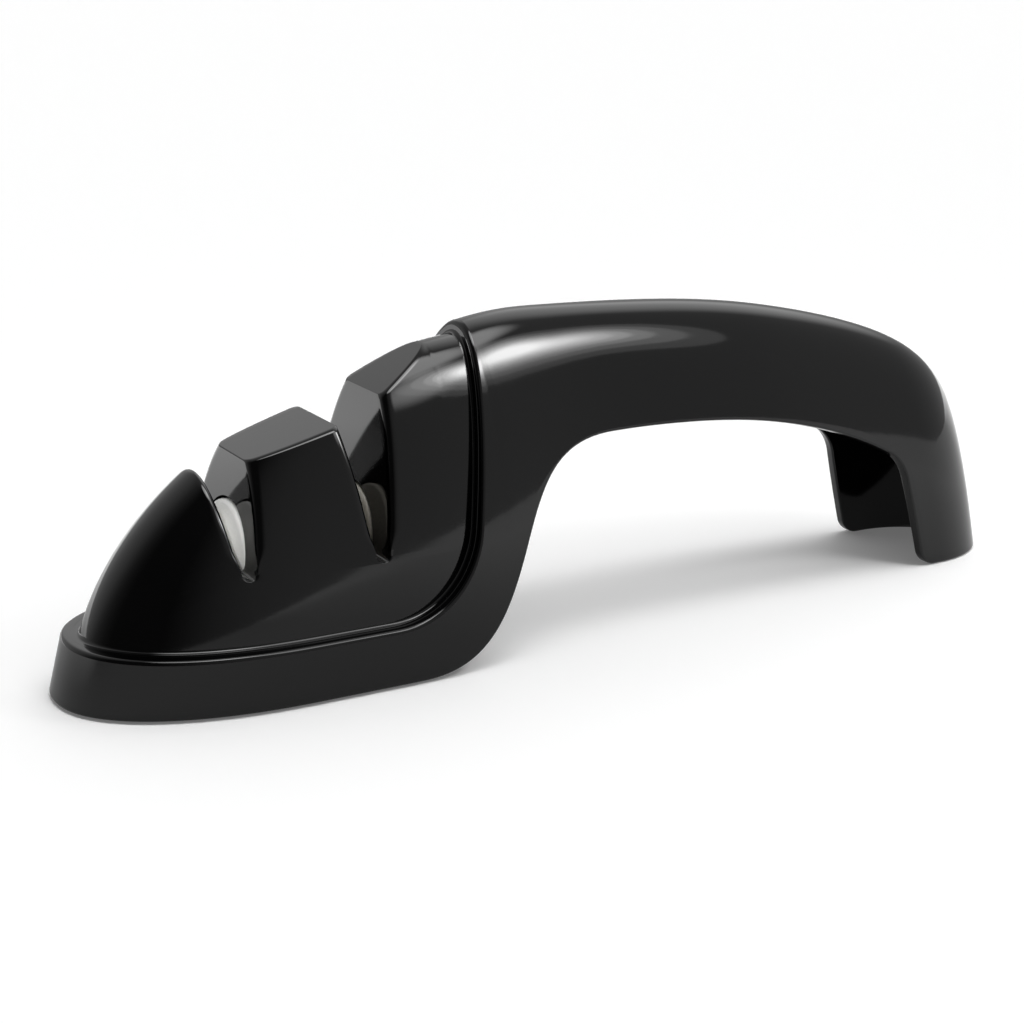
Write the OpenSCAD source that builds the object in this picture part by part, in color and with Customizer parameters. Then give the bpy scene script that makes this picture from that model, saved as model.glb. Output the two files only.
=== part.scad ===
// Two-stage pull-through knife sharpener with an arched handle, millimetres.
// Guides run from the nose (x = 0) to the back of the leg; y is across, z is up.
// The outer form is one arched hull: crest(x) is its height, plan(x) its half width,
// and the arch between them goes from an ellipse at the head to a fuller curve at the grip.

/* [Overall] */
// Length on the table, nose to back of the leg
length = 216; // [212:1:224]
// Width of the base on the table
base_width = 48.2; // [47:0.2:52]
// Height of the handle's crown
height = 65; // [63:0.5:69]

/* [Hull] */
// Length of the rounded nose, seen from above
nose_length = 43; // [39:0.5:46]
// Fullness of the nose outline, 2 is an ellipse
nose_power = 2.2; // [2:0.05:2.4]
// Where the crown stops rising
crest_front = 97; // [94:0.5:100]
// Where the crown starts to droop
crest_rear = 74; // [68:1:80]
// Squareness of the rear shoulder
crest_power = 6; // [5:0.25:7]
// Width that the hull has under the grip, taken at table level
grip_width = 32.4; // [31:0.2:36]
// Where the hull starts to narrow towards the grip
narrow_from = 58; // [54:1:60]
// Where it has the grip's width
narrow_to = 128; // [120:1:136]
// Fullness of the arch at the grip, 2 is an ellipse
grip_power = 2.35; // [2.1:0.05:2.5]
// Width of the leg on the table
leg_width = 30; // [28.4:0.2:31]
// Depth of the leg's rounded back
leg_round = 18.5; // [17:0.5:20]
// Forward lean of the leg, degrees
leg_lean = 12; // [9:0.2:14]

/* [Shell] */
// Wall of the housing
wall = 2.6; // [2.3:0.1:2.8]
// Chamfer along the open edges
edge = 0.5; // [0.3:0.05:0.7]
// Height of the base rim
rim_height = 11.3; // [10.8:0.1:12.4]
// Extra height of the rim at the nose
nose_rise = 0.5; // [0.2:0.1:1]
// Setback of the rim's top at the nose
nose_set = 3; // [2.4:0.1:3.2]
// Gap between the rim and the table
foot_gap = 0.4; // [0.2:0.05:0.6]
// Foot of the collar line, from the nose
collar_foot = 75.5; // [74:0.25:77]
// Top of the collar line, from the nose
collar_top = 83.8; // [82.5:0.25:85]
// Radius from the rim into the collar
collar_radius = 19; // [16:0.5:21]

/* [Grip opening] */
// End of the flat underside of the base
base_end = 64; // [62:0.5:65]
// Point on the back of the neck, from the nose
neck_x = 89.6; // [88.2:0.2:91]
// Height of that point
neck_z = 23.7; // [22:0.2:26]
// Slope of the neck there, degrees
neck_slope = 67; // [62:0.5:72]
// Start of the grip's underside, from the nose
arch_x = 112; // [108:0.5:116]
// Height of the grip's underside
arch_z = 40.7; // [38:0.2:42]
// Distance from the back of the leg to the end of the grip's underside
grip_back = 28; // [27:0.2:30]
// Height of the grip's underside at the leg
grip_back_z = 26.8; // [24:0.2:28]
// Distance from the back of the leg to its front edge
leg_depth = 24.6; // [23.5:0.1:26]
// Rounding of the leg's lower front corner
leg_corner = 3.4; // [2.5:0.1:4.5]

/* [Head] */
// Clear groove between the head and the housing
groove = 0.8; // [0.6:0.05:0.9]
// Wall of the head
head_wall = 2.2; // [1.8:0.1:2.4]
// How far the head reaches behind the collar line
head_tail = 5; // [4:0.25:5.5]
// Flat on the middle block: height at the front slot
mid_flat_z = 43.4; // [42.4:0.2:44.4]
// Flat on the middle block: slope, degrees
mid_flat_slope = 12.3; // [10:0.1:14]
// Flat on the rear block: height at the rear slot
rear_flat_z = 51.8; // [50.8:0.2:52.4]
// Flat on the rear block: slope, degrees
rear_flat_slope = 29.5; // [26:0.5:31]

/* [Knife slots] */
// Front slot, from the nose
front_slot_x = 32.8; // [32.4:0.1:33.2]
// Rear slot, from the nose
rear_slot_x = 58.6; // [58.2:0.1:59]
// Height of the slot floor
slot_floor = 23.2; // [22.6:0.1:23.8]
// Radius of the slot floor
slot_floor_r = 1.4; // [1.2:0.05:1.6]
// Slope of each slot wall, degrees
slot_slope = 7.4; // [6.8:0.1:8]

/* [Rollers] */
// Height of the axles
axle_z = 24; // [23.6:0.1:24.6]
// Axle diameter
axle_d = 4; // [3.4:0.1:4.4]
// Diameter of a sharpening wheel
wheel_d = 20; // [19:0.2:21]
// Diameter where the two flanks meet
notch_d = 9; // [8.4:0.2:10]
// Slope of each flank, degrees
flank_slope = 16.5; // [14:0.5:19]
// Thickness of one wheel
wheel_t = 4; // [3.6:0.1:4.2]
// Rounding of the wheel's rim
rim_round = 0.8; // [0.5:0.05:0.9]
// Thickness of the shim between two wheels
shim_t = 0.5; // [0.4:0.05:0.6]
// Thickness of a thrust washer
washer_t = 0.5; // [0.4:0.05:0.6]
// Outside diameter of a bush
bush_d = 6.4; // [6:0.1:7]
// Thickness of a bush flange
bush_flange = 0.6; // [0.5:0.05:0.8]
// Radial running clearance of an axle in its bushes
axle_fit = 0.05; // [0.03:0.01:0.09]
// Side play of a roller between its bushes
side_play = 0.1; // [0.05:0.01:0.15]
// Thickness of a retaining ring
ring_t = 0.7; // [0.5:0.05:0.8]

/* [Chassis] */
// Thickness of the rubber pad
pad_t = 1; // [0.8:0.1:1.2]
// Thickness of the base plate
plate_t = 3; // [2.8:0.1:3.1]
// Where the base plate ends, from the nose
plate_end = 75.4; // [75:0.2:76.4]
// Height of the shelf that carries the head
shelf_z = 7.4; // [7.2:0.1:7.8]
// Thickness of that shelf
shelf_t = 1.8; // [1.5:0.1:2]
// Reach of the shelf beyond the wall
shelf_reach = 2.4; // [2:0.1:2.6]
// Fitting clearance of fixed pieces
fit = 0.2; // [0.1:0.05:0.3]
// Front screw posts, from the nose
front_post_x = 14; // [13.6:0.1:14.2]
// Front screw posts, from the middle
front_post_y = 6.4; // [6:0.1:6.8]
// Rear screw posts, from the nose
rear_post_x = 71.4; // [71.2:0.1:71.6]
// Rear screw posts, from the middle
rear_post_y = 14.2; // [13.9:0.1:14.3]
// Diameter of a screw post
post_d = 7; // [6.4:0.1:7.2]
// Screw shank diameter
screw_d = 3; // [2.6:0.1:3.2]
// Screw head diameter
screw_head_d = 5.4; // [5:0.1:5.6]
// Screw head height
screw_head_t = 1.7; // [1.5:0.1:1.8]
// Length of a head screw's shank
head_screw_l = 13; // [11:0.5:14]
// Length of a carrier screw's shank
carrier_screw_l = 6; // [5:0.25:6.4]
// Thickness of a carrier upright
upright_t = 3; // [2.6:0.1:3.2]
// Width of a carrier's side rail
rail_w = 1.9; // [1.6:0.1:2]
// Height of the carrier's frame
rail_t = 3; // [2.5:0.1:3.4]
// Reach of a carrier's screw lug
lug_reach = 2.9; // [2.8:0.05:3]
// Screw lugs of a carrier, from the middle
lug_y = 6; // [5.6:0.1:6.4]
// Height of a carrier's screw lug
lug_t = 5; // [4.5:0.1:5.5]

/* [Hidden] */
$fn = 48;
bite = 0.6;
slack = 0.05;

black = [0.07, 0.07, 0.075];
rubber = [0.13, 0.13, 0.13];
steel = [0.72, 0.73, 0.75];
bronze = [0.66, 0.5, 0.28];
white_ceramic = [0.86, 0.86, 0.83];
ivory_ceramic = [0.76, 0.74, 0.69];

// The hull
base_half = base_width / 2;
grip_half = grip_width / 2;
leg_half = leg_width / 2;
narrow_in = [narrow_from, narrow_to];
leg_in = [length - 66, length - 10];
full_in = [collar_top, narrow_to];
lean_in = [length - 102, length - 11];
round_from = length - leg_round;

function unit(t) = max(0, min(1, t));
function smooth(span, x) =
    let (t = unit((x - span[0]) / (span[1] - span[0])))
    t * t * t * (t * (6 * t - 15) + 10);
function mix(a, b, t) = a + (b - a) * t;
function arc(t, power) = pow(max(0, 1 - pow(unit(t), power)), 1 / power);
function bezier(p, t) =
    p[0] * pow(1 - t, 3) + p[1] * 3 * t * pow(1 - t, 2) + p[2] * 3 * t * t * (1 - t) + p[3] * pow(t, 3);
function heading(angle, reach) = [cos(angle), sin(angle)] * reach;

function crest(x) =
    height * arc((crest_front - x) / crest_front, 2)
    * pow(max(0, 1 - pow(unit((x - crest_rear) / (length - crest_rear)), 2)), 1 / crest_power);
function plan(x) =
    (base_half + (grip_half - base_half) * smooth(narrow_in, x)
     + (leg_half - grip_half) * smooth(leg_in, x))
    * arc((nose_length - x) / nose_length, nose_power)
    * arc((x - round_from) / leg_round, 2);
function power(x) = 2 + (grip_power - 2) * smooth(full_in, x);
function side(x, z) = plan(x) * arc(z / max(crest(x), 0.001), power(x));
function leaned(x, z) = x - tan(leg_lean) * z * smooth(lean_in, x);

// The hull drawn in by an even amount, used for the head
function drawn_x(x, inset) = (x - length / 2) * length / (length - 2 * inset) + length / 2;
function drawn_plan(x, inset) = max(0, plan(drawn_x(x, inset)) - inset);
function drawn_crest(x, inset) = max(0.01, crest(drawn_x(x, inset)) - inset);
function drawn_nose(z, inset) =
    let (x = crest_front * (1 - sqrt(1 - pow((z + inset) / height, 2))))
    (x - length / 2) * (length - 2 * inset) / length + length / 2;

// Upper guide of the shell: rim, radius and collar; then the crown
collar_dir = [collar_top - collar_foot, crest(collar_top) - rim_height];
collar_slope = atan2(collar_dir[1], collar_dir[0]);
collar_tangent = collar_radius * tan(collar_slope / 2);
bend_from = collar_foot - collar_tangent;
bend_to = [collar_foot, rim_height] + heading(collar_slope, collar_tangent);
rise_to = 25;
function rim_z(x) = rim_height + nose_rise * pow(max(0, 1 - x / rise_to), 2);
rim_share = side(bend_from, rim_height) / plan(bend_from);
function rim_half(mark, t) = plan(mark[1][0]) * mix(rim_share, 1, t);

// Lower guide of the shell: the table, the neck, the grip's underside and the leg's front
neck_point = [neck_x, neck_z];
arch_point = [arch_x, arch_z];
grip_point = [length - grip_back, grip_back_z];
leg_front = length - leg_depth;
leg_fall = 7;
leg_run = 0.9;
grip_slope = -31;
neck_pull = [15.5, 15];
arch_pull = [12, 13];
grip_pull = [26, 22];
leg_pull = [1.5, 4];
base_point = [base_end, foot_gap];
neck_curve = [base_point, base_point + [neck_pull[0], 0],
    neck_point - heading(neck_slope, neck_pull[1]), neck_point];
arch_curve = [neck_point, neck_point + heading(neck_slope, arch_pull[0]),
    arch_point - [arch_pull[1], 0], arch_point];
grip_curve = [arch_point, arch_point + [grip_pull[0], 0],
    grip_point - heading(grip_slope, grip_pull[1]), grip_point];
leg_top = [leg_front, grip_back_z - leg_fall];
leg_curve = [grip_point, grip_point + heading(grip_slope, leg_pull[0]),
    leg_top + [0, leg_pull[1]], leg_top];
leg_foot = [leg_front + leg_run, leg_corner];

// Stations along the shell: an upper and a lower guide point each
rim_steps = 13;
bend_steps = 7;
collar_steps = 7;
arch_steps = 7;
grip_steps = 14;
shoulder_steps = 7;
leg_steps = 5;
foot_steps = 4;
open_steps = rim_steps + bend_steps + collar_steps;
neck_share = 0.12;
shoulder_x = leg_front - 3;
shoulder_w = pow(1 - pow((shoulder_x - crest_rear) / (length - crest_rear), 2), 1 / crest_power);
foot_w = 0.06;
leg_w = 0.55;

function rim_mark(k) = [
    [mix(nose_set, bend_from, k), rim_z(mix(nose_set, bend_from, k))],
    [bend_from * k, foot_gap]];
function neck_mark(q) =
    q < neck_share ? [mix(bend_from, base_end, q / neck_share), foot_gap]
    : bezier(neck_curve, (q - neck_share) / (1 - neck_share));
function back_mark(w) =
    [crest_rear + (length - crest_rear) * sqrt(1 - pow(w, crest_power)), height * w];
function foot_mark(t) = leg_foot + [leg_corner * (1 - cos(90 * t)), -leg_corner * sin(90 * t)];

stations = concat(
    [for (i = [0:rim_steps]) rim_mark(1 - cos(90 * i / rim_steps))],
    [for (i = [1:bend_steps])
        let (a = collar_slope * i / bend_steps)
        [[bend_from, rim_height + collar_radius] + heading(a - 90, collar_radius),
         neck_mark(i / (bend_steps + collar_steps))]],
    [for (i = [1:collar_steps])
        [mix(bend_to, [collar_top, crest(collar_top)], sin(90 * i / collar_steps)),
         neck_mark((bend_steps + i) / (bend_steps + collar_steps))]],
    [for (i = [1:arch_steps])
        let (x = mix(collar_top, arch_x, i / arch_steps))
        [[x, crest(x)], bezier(arch_curve, i / arch_steps)]],
    [for (i = [1:grip_steps])
        let (x = mix(arch_x, shoulder_x, i / grip_steps))
        [[x, crest(x)], bezier(grip_curve, i / grip_steps)]],
    [for (i = [1:shoulder_steps])
        [back_mark(mix(shoulder_w, leg_w, i / shoulder_steps)), bezier(leg_curve, i / shoulder_steps)]],
    [for (i = [1:leg_steps])
        [back_mark(mix(leg_w, foot_w, i / leg_steps)), mix(leg_top, leg_foot, i / leg_steps)]],
    [for (i = [1:foot_steps])
        [back_mark(mix(foot_w, 0, i / foot_steps)), foot_mark(i / foot_steps)]]);
last = len(stations) - 1;

// One half of the outer skin as a grid, and its outward normals
rows = 9;
function row_share(i, j) =
    let (m = stations[i], cut = edge / norm(m[1] - m[0]), from = i < open_steps ? cut : 0)
    mix(from, i == last ? 1 : 1 - cut, 1 - cos(90 * j / rows));
function skin(i, t) =
    let (m = stations[i], p = mix(m[0], m[1], t),
         y = i <= rim_steps ? rim_half(m, t) : side(p[0], p[1]))
    [leaned(p[0], p[1]), i == 0 || (i >= open_steps && t == 0) ? 0 : y, p[1]];
grid = [for (i = [0:last]) [for (j = [0:rows]) skin(i, row_share(i, j))]];
function flipped(p) = [p[0], -p[1], p[2]];
function along(i, j) = grid[min(i + 1, last)][j] - grid[max(i - 1, 0)][j];
function down(i, j) =
    i >= open_steps && j == 0 ? grid[i][1] - flipped(grid[i][1])
    : grid[i][min(j + 1, rows)] - grid[i][max(j - 1, 0)];
function normal(i, j) =
    let (n = cross(along(i, j), down(i, j)),
         flat = i <= rim_steps || i == last ? [n[0], n[1], 0] : n,
         mid = i == 0 || (i >= open_steps && j == 0) ? [flat[0], 0, flat[2]] : flat)
    mid / norm(mid);
function sunk(i, j, p, depth) = p - normal(i, j) * depth;

// A closed ring round the wall at each station
ring_size = 2 * rows + 6;
function ring(i) =
    let (top = skin(i, 0), foot = skin(i, 1), inner_top = sunk(i, 0, grid[i][0], wall))
    concat(
        grid[i],
        [sunk(i, rows, foot, edge), sunk(i, rows, foot, wall - edge)],
        [for (j = [rows:-1:0]) sunk(i, j, grid[i][j], wall)],
        i > open_steps ? [inner_top, grid[i][0]]
        : [sunk(i, 0, top, wall - edge), sunk(i, 0, top, edge)]);
rings = [for (i = [0:last]) ring(i)];
half_count = (last + 1) * ring_size;
function on_middle(i, k) = i == 0 || (i >= open_steps && (k == 0 || k >= 2 * rows + 3));
function corner(s, i, k) =
    let (kk = k % ring_size)
    (s == 0 || on_middle(i, kk) ? 0 : half_count) + i * ring_size + kk;
function patch(s, a, b, c, d) = s == 0 ? [[a, b, c], [a, c, d]] : [[c, b, a], [d, c, a]];

module shell() {
    walls = [for (s = [0, 1], i = [0:last - 1], k = [0:ring_size - 1])
        if (i < open_steps || k < 2 * rows + 3)
            each patch(s, corner(s, i, k), corner(s, i, k + 1),
                corner(s, i + 1, k + 1), corner(s, i + 1, k))];
    sole = [for (s = [0, 1], k = [0:rows])
        each patch(s, corner(s, last, k), corner(s, last, k + 1),
            corner(s, last, 2 * rows + 2 - k), corner(s, last, 2 * rows + 3 - k))];
    points = [for (s = [0, 1], r = rings, p = r) s == 0 ? p : flipped(p)];
    polyhedron(points = points, faces = concat(walls, sole), convexity = 10);
}

// Outline of the rim's wall seen from above at one height, drawn in by an amount
turn_steps = 16;
run_steps = 3;
function wall_point(k, z) =
    let (m = rim_mark(k), t = (m[0][1] - z) / (m[0][1] - foot_gap))
    [mix(m[0][0], m[1][0], t), rim_half(m, t)];
function drawn_in(line, inset) = [
    for (i = [0:len(line) - 1])
        let (way = i == 0 ? [0, 1] : line[min(i + 1, len(line) - 1)] - line[i - 1])
        line[i] + [way[1], -way[0]] * inset / norm(way)];
function both_sides(line) = concat(line, [for (i = [len(line) - 1:-1:1]) [line[i][0], -line[i][1]]]);
function rim_outline(z, inset, end) = both_sides(drawn_in(concat(
    [for (i = [0:turn_steps]) wall_point(1 - cos(90 * i / turn_steps), z)],
    [for (i = [1:run_steps])
        let (x = mix(bend_from, end, i / run_steps))
        [x, side(x, z)]]), inset));

// A closed hull from the nose to a section, above one height
hull_steps = 20;
hull_rows = 8;
function hull_section(x, floor_z, inset) =
    let (top = drawn_crest(x, inset), half = drawn_plan(x, inset), low = asin(min(1, floor_z / top)))
    [for (j = [-hull_rows:hull_rows])
        let (a = 90 + (90 - low) * j / hull_rows)
        [x, half * cos(a), max(floor_z, top * sin(a))]];
module nose_hull(floor_z, inset, end) {
    tip = drawn_nose(floor_z, inset);
    arch = 2 * hull_rows + 1;
    sections = [for (i = [1:hull_steps])
        hull_section(mix(tip, end, 1 - cos(90 * i / hull_steps)), floor_z, inset)];
    points = concat([[tip, 0, floor_z]], [for (s = sections, p = s) p]);
    nose = [for (j = [0:arch - 2]) [0, 1 + j, 2 + j]];
    skin = [for (i = [0:hull_steps - 2], j = [0:arch - 2])
        let (a = 1 + i * arch + j)
        each patch(0, a, a + arch, a + arch + 1, a + 1)];
    sole = concat([[0, arch, 1]], [for (i = [0:hull_steps - 2])
        let (a = 1 + i * arch)
        each patch(0, a, a + arch - 1, a + 2 * arch - 1, a + arch)]);
    back = [[for (j = [arch - 1:-1:0]) 1 + (hull_steps - 1) * arch + j]];
    polyhedron(points = points, faces = concat(nose, skin, sole, back), convexity = 6);
}

// Everything is drawn from the nose and moved so that the box is centred
module placed() {
    translate([-length / 2, 0, 0]) children();
}

// A side view profile cut or drawn right across the body
module across(width) {
    rotate([90, 0, 0]) linear_extrude(width, center = true) children();
}

// A profile in the y-z plane, from one place along the axle to another
module spanning(from, to) {
    translate([from, 0, 0]) rotate([90, 0, 90]) linear_extrude(to - from) children();
}

/* Housing */
shelf_end = base_end + 4;
rib_t = 1.6;
rib_depth = 5;
rib_sweep = 42;
rib_pitch = 14;
rib_count = 3;

module rim_ring(z, thickness, outer, inner, end) {
    translate([0, 0, z]) linear_extrude(thickness) difference() {
        polygon(rim_outline(z + thickness, outer, end));
        polygon(rim_outline(z + thickness, inner, end + bite));
    }
}

// Arched stiffening rib inside the grip
module grip_rib(x) {
    function bent(v) = sign(v) * pow(abs(v), 2 / power(x));
    function arch(inset) = [for (i = [-turn_steps:turn_steps])
        let (a = 90 + rib_sweep * i / turn_steps)
        [drawn_plan(x, inset) * bent(cos(a)), drawn_crest(x, inset) * bent(sin(a))]];
    outer = arch(wall - bite);
    inner = arch(wall + rib_depth);
    spanning(x, x + rib_t)
        polygon(concat(outer, [for (i = [len(inner) - 1:-1:0]) inner[i]]));
}

module housing() {
    color(black) placed() union() {
        shell();
        rim_ring(shelf_z - shelf_t, shelf_t, wall - 2 * bite, wall + shelf_reach, shelf_end);
        for (i = [0:rib_count - 1]) grip_rib(arch_x - rib_pitch / 2 + i * rib_pitch);
    }
}

/* Head */
head_inset = wall + groove;
hull_end = collar_top + 2 * head_tail;
slot_centre = slot_floor + slot_floor_r;
sky = height + 20;
window_gap = 0.6;
window_r = wheel_d / 2 + window_gap;
pilot_depth = 1;
slot_floor_steps = 12;

function slot_half(z, grow) =
    (slot_floor_r + grow) / cos(slot_slope) + (z - slot_centre) * tan(slot_slope);

module slot_profile(grow) {
    sweep = 180 - 2 * slot_slope;
    floor_arc = [for (i = [0:slot_floor_steps])
        [0, slot_centre] + heading(slot_slope - 180 + sweep * i / slot_floor_steps, slot_floor_r + grow)];
    polygon(concat(floor_arc, [[slot_half(sky, grow), sky], [-slot_half(sky, grow), sky]]));
}

module slots(grow) {
    for (x = [front_slot_x, rear_slot_x])
        translate([x, 0, 0]) across(base_width) slot_profile(grow);
}

// Wedges above the two flats, lowered for the hollow
module flats(drop) {
    mid_x = front_slot_x + slot_half(mid_flat_z, 0);
    rear_x = rear_slot_x + slot_half(rear_flat_z, 0);
    function flat_z(z, x0, slope, x) = z + (x - x0) * tan(slope) - drop;
    across(base_width) {
        polygon([
            [front_slot_x, flat_z(mid_flat_z, mid_x, mid_flat_slope, front_slot_x)],
            [rear_slot_x, flat_z(mid_flat_z, mid_x, mid_flat_slope, rear_slot_x)],
            [rear_slot_x, sky], [front_slot_x, sky]]);
        polygon([
            [rear_slot_x, flat_z(rear_flat_z, rear_x, rear_flat_slope, rear_slot_x)],
            [collar_top, flat_z(rear_flat_z, rear_x, rear_flat_slope, collar_top)],
            [collar_top, sky], [rear_slot_x, sky]]);
    }
}

// Everything behind the head's back wall
module behind(shift) {
    lean = collar_dir[0] / collar_dir[1];
    function back_x(z) = collar_foot + head_tail - shift + (z - rim_height) * lean;
    across(base_width)
        polygon([[back_x(0), 0], [back_x(sky), sky], [length, sky], [length, 0]]);
}

module at_posts() {
    for (s = [-1, 1]) {
        translate([front_post_x, s * front_post_y, 0]) children();
        translate([rear_post_x, s * rear_post_y, 0]) children();
    }
}

module head_posts() {
    intersection() {
        nose_hull(shelf_z, head_inset + head_wall / 2, hull_end - head_wall);
        at_posts() cylinder(d = post_d, h = height);
    }
}

module head_hollow() {
    difference() {
        nose_hull(shelf_z - 1, head_inset + head_wall, hull_end - head_wall);
        slots(head_wall);
        flats(head_wall);
        behind(head_wall);
    }
}

module head_cap() {
    color(black) placed() difference() {
        union() {
            difference() {
                nose_hull(shelf_z, head_inset, hull_end);
                head_hollow();
                behind(0);
            }
            head_posts();
        }
        slots(0);
        flats(0);
        for (x = [front_slot_x, rear_slot_x])
            translate([x - upright_in, 0, axle_z]) rotate([0, 90, 0])
                cylinder(r = window_r, h = 2 * upright_in);
        at_posts() cylinder(d = screw_d + 2 * slack, h = screw_seat + head_screw_l + pilot_depth);
    }
}

/* Base plate and pad */
plate_top = pad_t + plate_t;
screw_seat = pad_t + screw_head_t + fit;
counterbore_d = screw_head_d + 2 * fit;
sill_t = 2.4;
pad_front = [24, 10];
pad_rear = [60, 14.5];
pad_corner = 4;
pad_groove = [1.2, 0.4];
pad_pitch = 5;

module at_lugs() {
    for (x = [front_slot_x, rear_slot_x], s = [-1, 1])
        translate([x + s * lug_x, -s * lug_y, 0]) children();
}

module screw_hole(top) {
    translate([0, 0, pad_t - slack]) cylinder(d = counterbore_d, h = screw_seat - pad_t + slack);
    cylinder(d = screw_d + 2 * fit, h = top + slack);
}

module base_plate() {
    plate_inset = wall + fit;
    color(black) placed() difference() {
        union() {
            translate([0, 0, pad_t]) linear_extrude(plate_t)
                polygon(rim_outline(plate_top, plate_inset, plate_end));
            rim_ring(plate_top, shelf_z - shelf_t - plate_top, plate_inset,
                wall + shelf_reach, shelf_end);
            at_posts() translate([0, 0, pad_t]) cylinder(d = post_d, h = shelf_z - pad_t);
            translate([plate_end - sill_t, -rear_post_y, plate_top - bite])
                cube([sill_t - fit, 2 * rear_post_y, shelf_z - plate_top + bite]);
        }
        at_posts() screw_hole(shelf_z);
        at_lugs() screw_hole(plate_top);
    }
}

module grip_pad() {
    color(rubber) placed() difference() {
        linear_extrude(pad_t) hull() for (s = [-1, 1], p = [pad_front, pad_rear])
            translate([p[0], s * p[1]]) circle(pad_corner, $fn = 32);
        for (x = [pad_front[0]:pad_pitch:pad_rear[0]])
            translate([x, -base_width / 2, -slack])
                cube([pad_groove[0], base_width, pad_groove[1] + slack]);
    }
}

/* Screws */
recess = [3, 0.7, 0.9];

module screw(shank) {
    difference() {
        union() {
            translate([0, 0, -screw_head_t]) cylinder(d = screw_head_d, h = screw_head_t);
            cylinder(d = screw_d, h = shank);
        }
        for (a = [0, 90]) rotate(a)
            translate([-recess[0] / 2, -recess[1] / 2, -screw_head_t - slack])
                cube(recess);
    }
}

module head_screws() {
    color(steel) placed() at_posts() translate([0, 0, screw_seat]) screw(head_screw_l);
}

module carrier_screws() {
    color(steel) placed() at_lugs() translate([0, 0, screw_seat]) screw(carrier_screw_l);
}

/* Roller stages, each drawn about its own slot */
wheel_far = shim_t / 2 + wheel_t;
washer_far = wheel_far + washer_t;
upright_in = washer_far + side_play + bush_flange;
upright_out = upright_in + upright_t;
ring_in = upright_out + side_play;
axle_end = 0.8;
axle_half = ring_in + ring_t + axle_end;
rail_gap = 0.4;
rail_in = wheel_d / 2 + rail_gap;
rail_out = rail_in + rail_w;
lug_x = upright_out + lug_reach;
lug_r = lug_reach - slack;
eye_wall = 2.2;
eye_r = bush_d / 2 + eye_wall;
flange_w = 1;
flange_r = bush_d / 2 + flange_w;
washer_w = 1.8;
washer_r = axle_d / 2 + washer_w;
shim_set = 1;
shim_r = notch_d / 2 - shim_set;
ring_w = 1.6;
ring_r = axle_d / 2 + ring_w;
ring_groove = 0.35;
axle_chamfer = 0.4;

module staged(x) {
    placed() translate([x, 0, 0]) children();
}

// A revolved piece about the axle, mirrored in pairs where asked
module about_axle() {
    translate([0, 0, axle_z]) rotate([0, 90, 0]) children();
}

module collar_ring(from, to, inner, outer) {
    about_axle() translate([0, 0, from]) difference() {
        cylinder(r = outer, h = to - from);
        translate([0, 0, -1]) cylinder(r = inner, h = to - from + 2);
    }
}

function rounded(a, p, b, r) =
    let (u = (a - p) / norm(a - p), v = (b - p) / norm(b - p), half = acos(u * v) / 2,
         c = p + (u + v) / norm(u + v) * r / sin(half),
         from = p + u * r / tan(half) - c, to = p + v * r / tan(half) - c, sweep = 180 - 2 * half)
    [for (t = [0:0.25:1]) c + (from * sin((1 - t) * sweep) + to * sin(t * sweep)) / sin(sweep)];

// Conical wheel; its flank faces the slot's middle
module wheel(side_of) {
    r = wheel_d / 2;
    near = shim_t / 2;
    notch = [notch_d / 2, near];
    rim = [r, near + (r - notch_d / 2) * tan(flank_slope)];
    far = [r, wheel_far];
    bore = axle_d / 2 + slack;
    mirror([side_of < 0 ? 1 : 0, 0, 0]) about_axle() rotate_extrude($fn = 96)
        polygon(concat(
            [[bore, near], notch],
            rounded(notch, rim, far, rim_round),
            rounded(rim, far, [bore, wheel_far], rim_round / 2),
            [[bore, wheel_far]]));
}

module axle() {
    r = axle_d / 2;
    shoulder = axle_half - axle_chamfer;
    about_axle() difference() {
        rotate_extrude() polygon([
            [0, -axle_half], [r - axle_chamfer, -axle_half], [r, -shoulder],
            [r, shoulder], [r - axle_chamfer, axle_half], [0, axle_half]]);
        for (s = [-1, 1]) translate([0, 0, s * (ring_in + ring_t / 2) - ring_t / 2]) difference() {
            cylinder(r = axle_d, h = ring_t);
            cylinder(r = r - ring_groove, h = ring_t);
        }
    }
}

module shim() {
    collar_ring(-shim_t / 2, shim_t / 2, axle_d / 2 + slack, shim_r);
}

module washers() {
    collar_ring(wheel_far, washer_far, axle_d / 2 + slack, washer_r);
    collar_ring(-washer_far, -wheel_far, axle_d / 2 + slack, washer_r);
}

module bushes() {
    for (s = [0, 1]) mirror([s, 0, 0]) difference() {
        union() {
            collar_ring(upright_in - bush_flange, upright_in, axle_d / 2, flange_r);
            collar_ring(upright_in - slack, upright_out, axle_d / 2, bush_d / 2);
        }
        about_axle() translate([0, 0, upright_in - bush_flange - 1])
            cylinder(d = axle_d + 2 * axle_fit, h = upright_t + bush_flange + 2);
    }
}

module retaining_rings() {
    for (s = [0, 1]) mirror([s, 0, 0]) difference() {
        collar_ring(ring_in, ring_in + ring_t, axle_d / 2 - ring_groove, ring_r);
        translate([ring_in - 1, -axle_d / 3, axle_z - 2 * ring_r])
            cube([ring_t + 2, axle_d / 1.5, 2 * ring_r]);
    }
}

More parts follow.
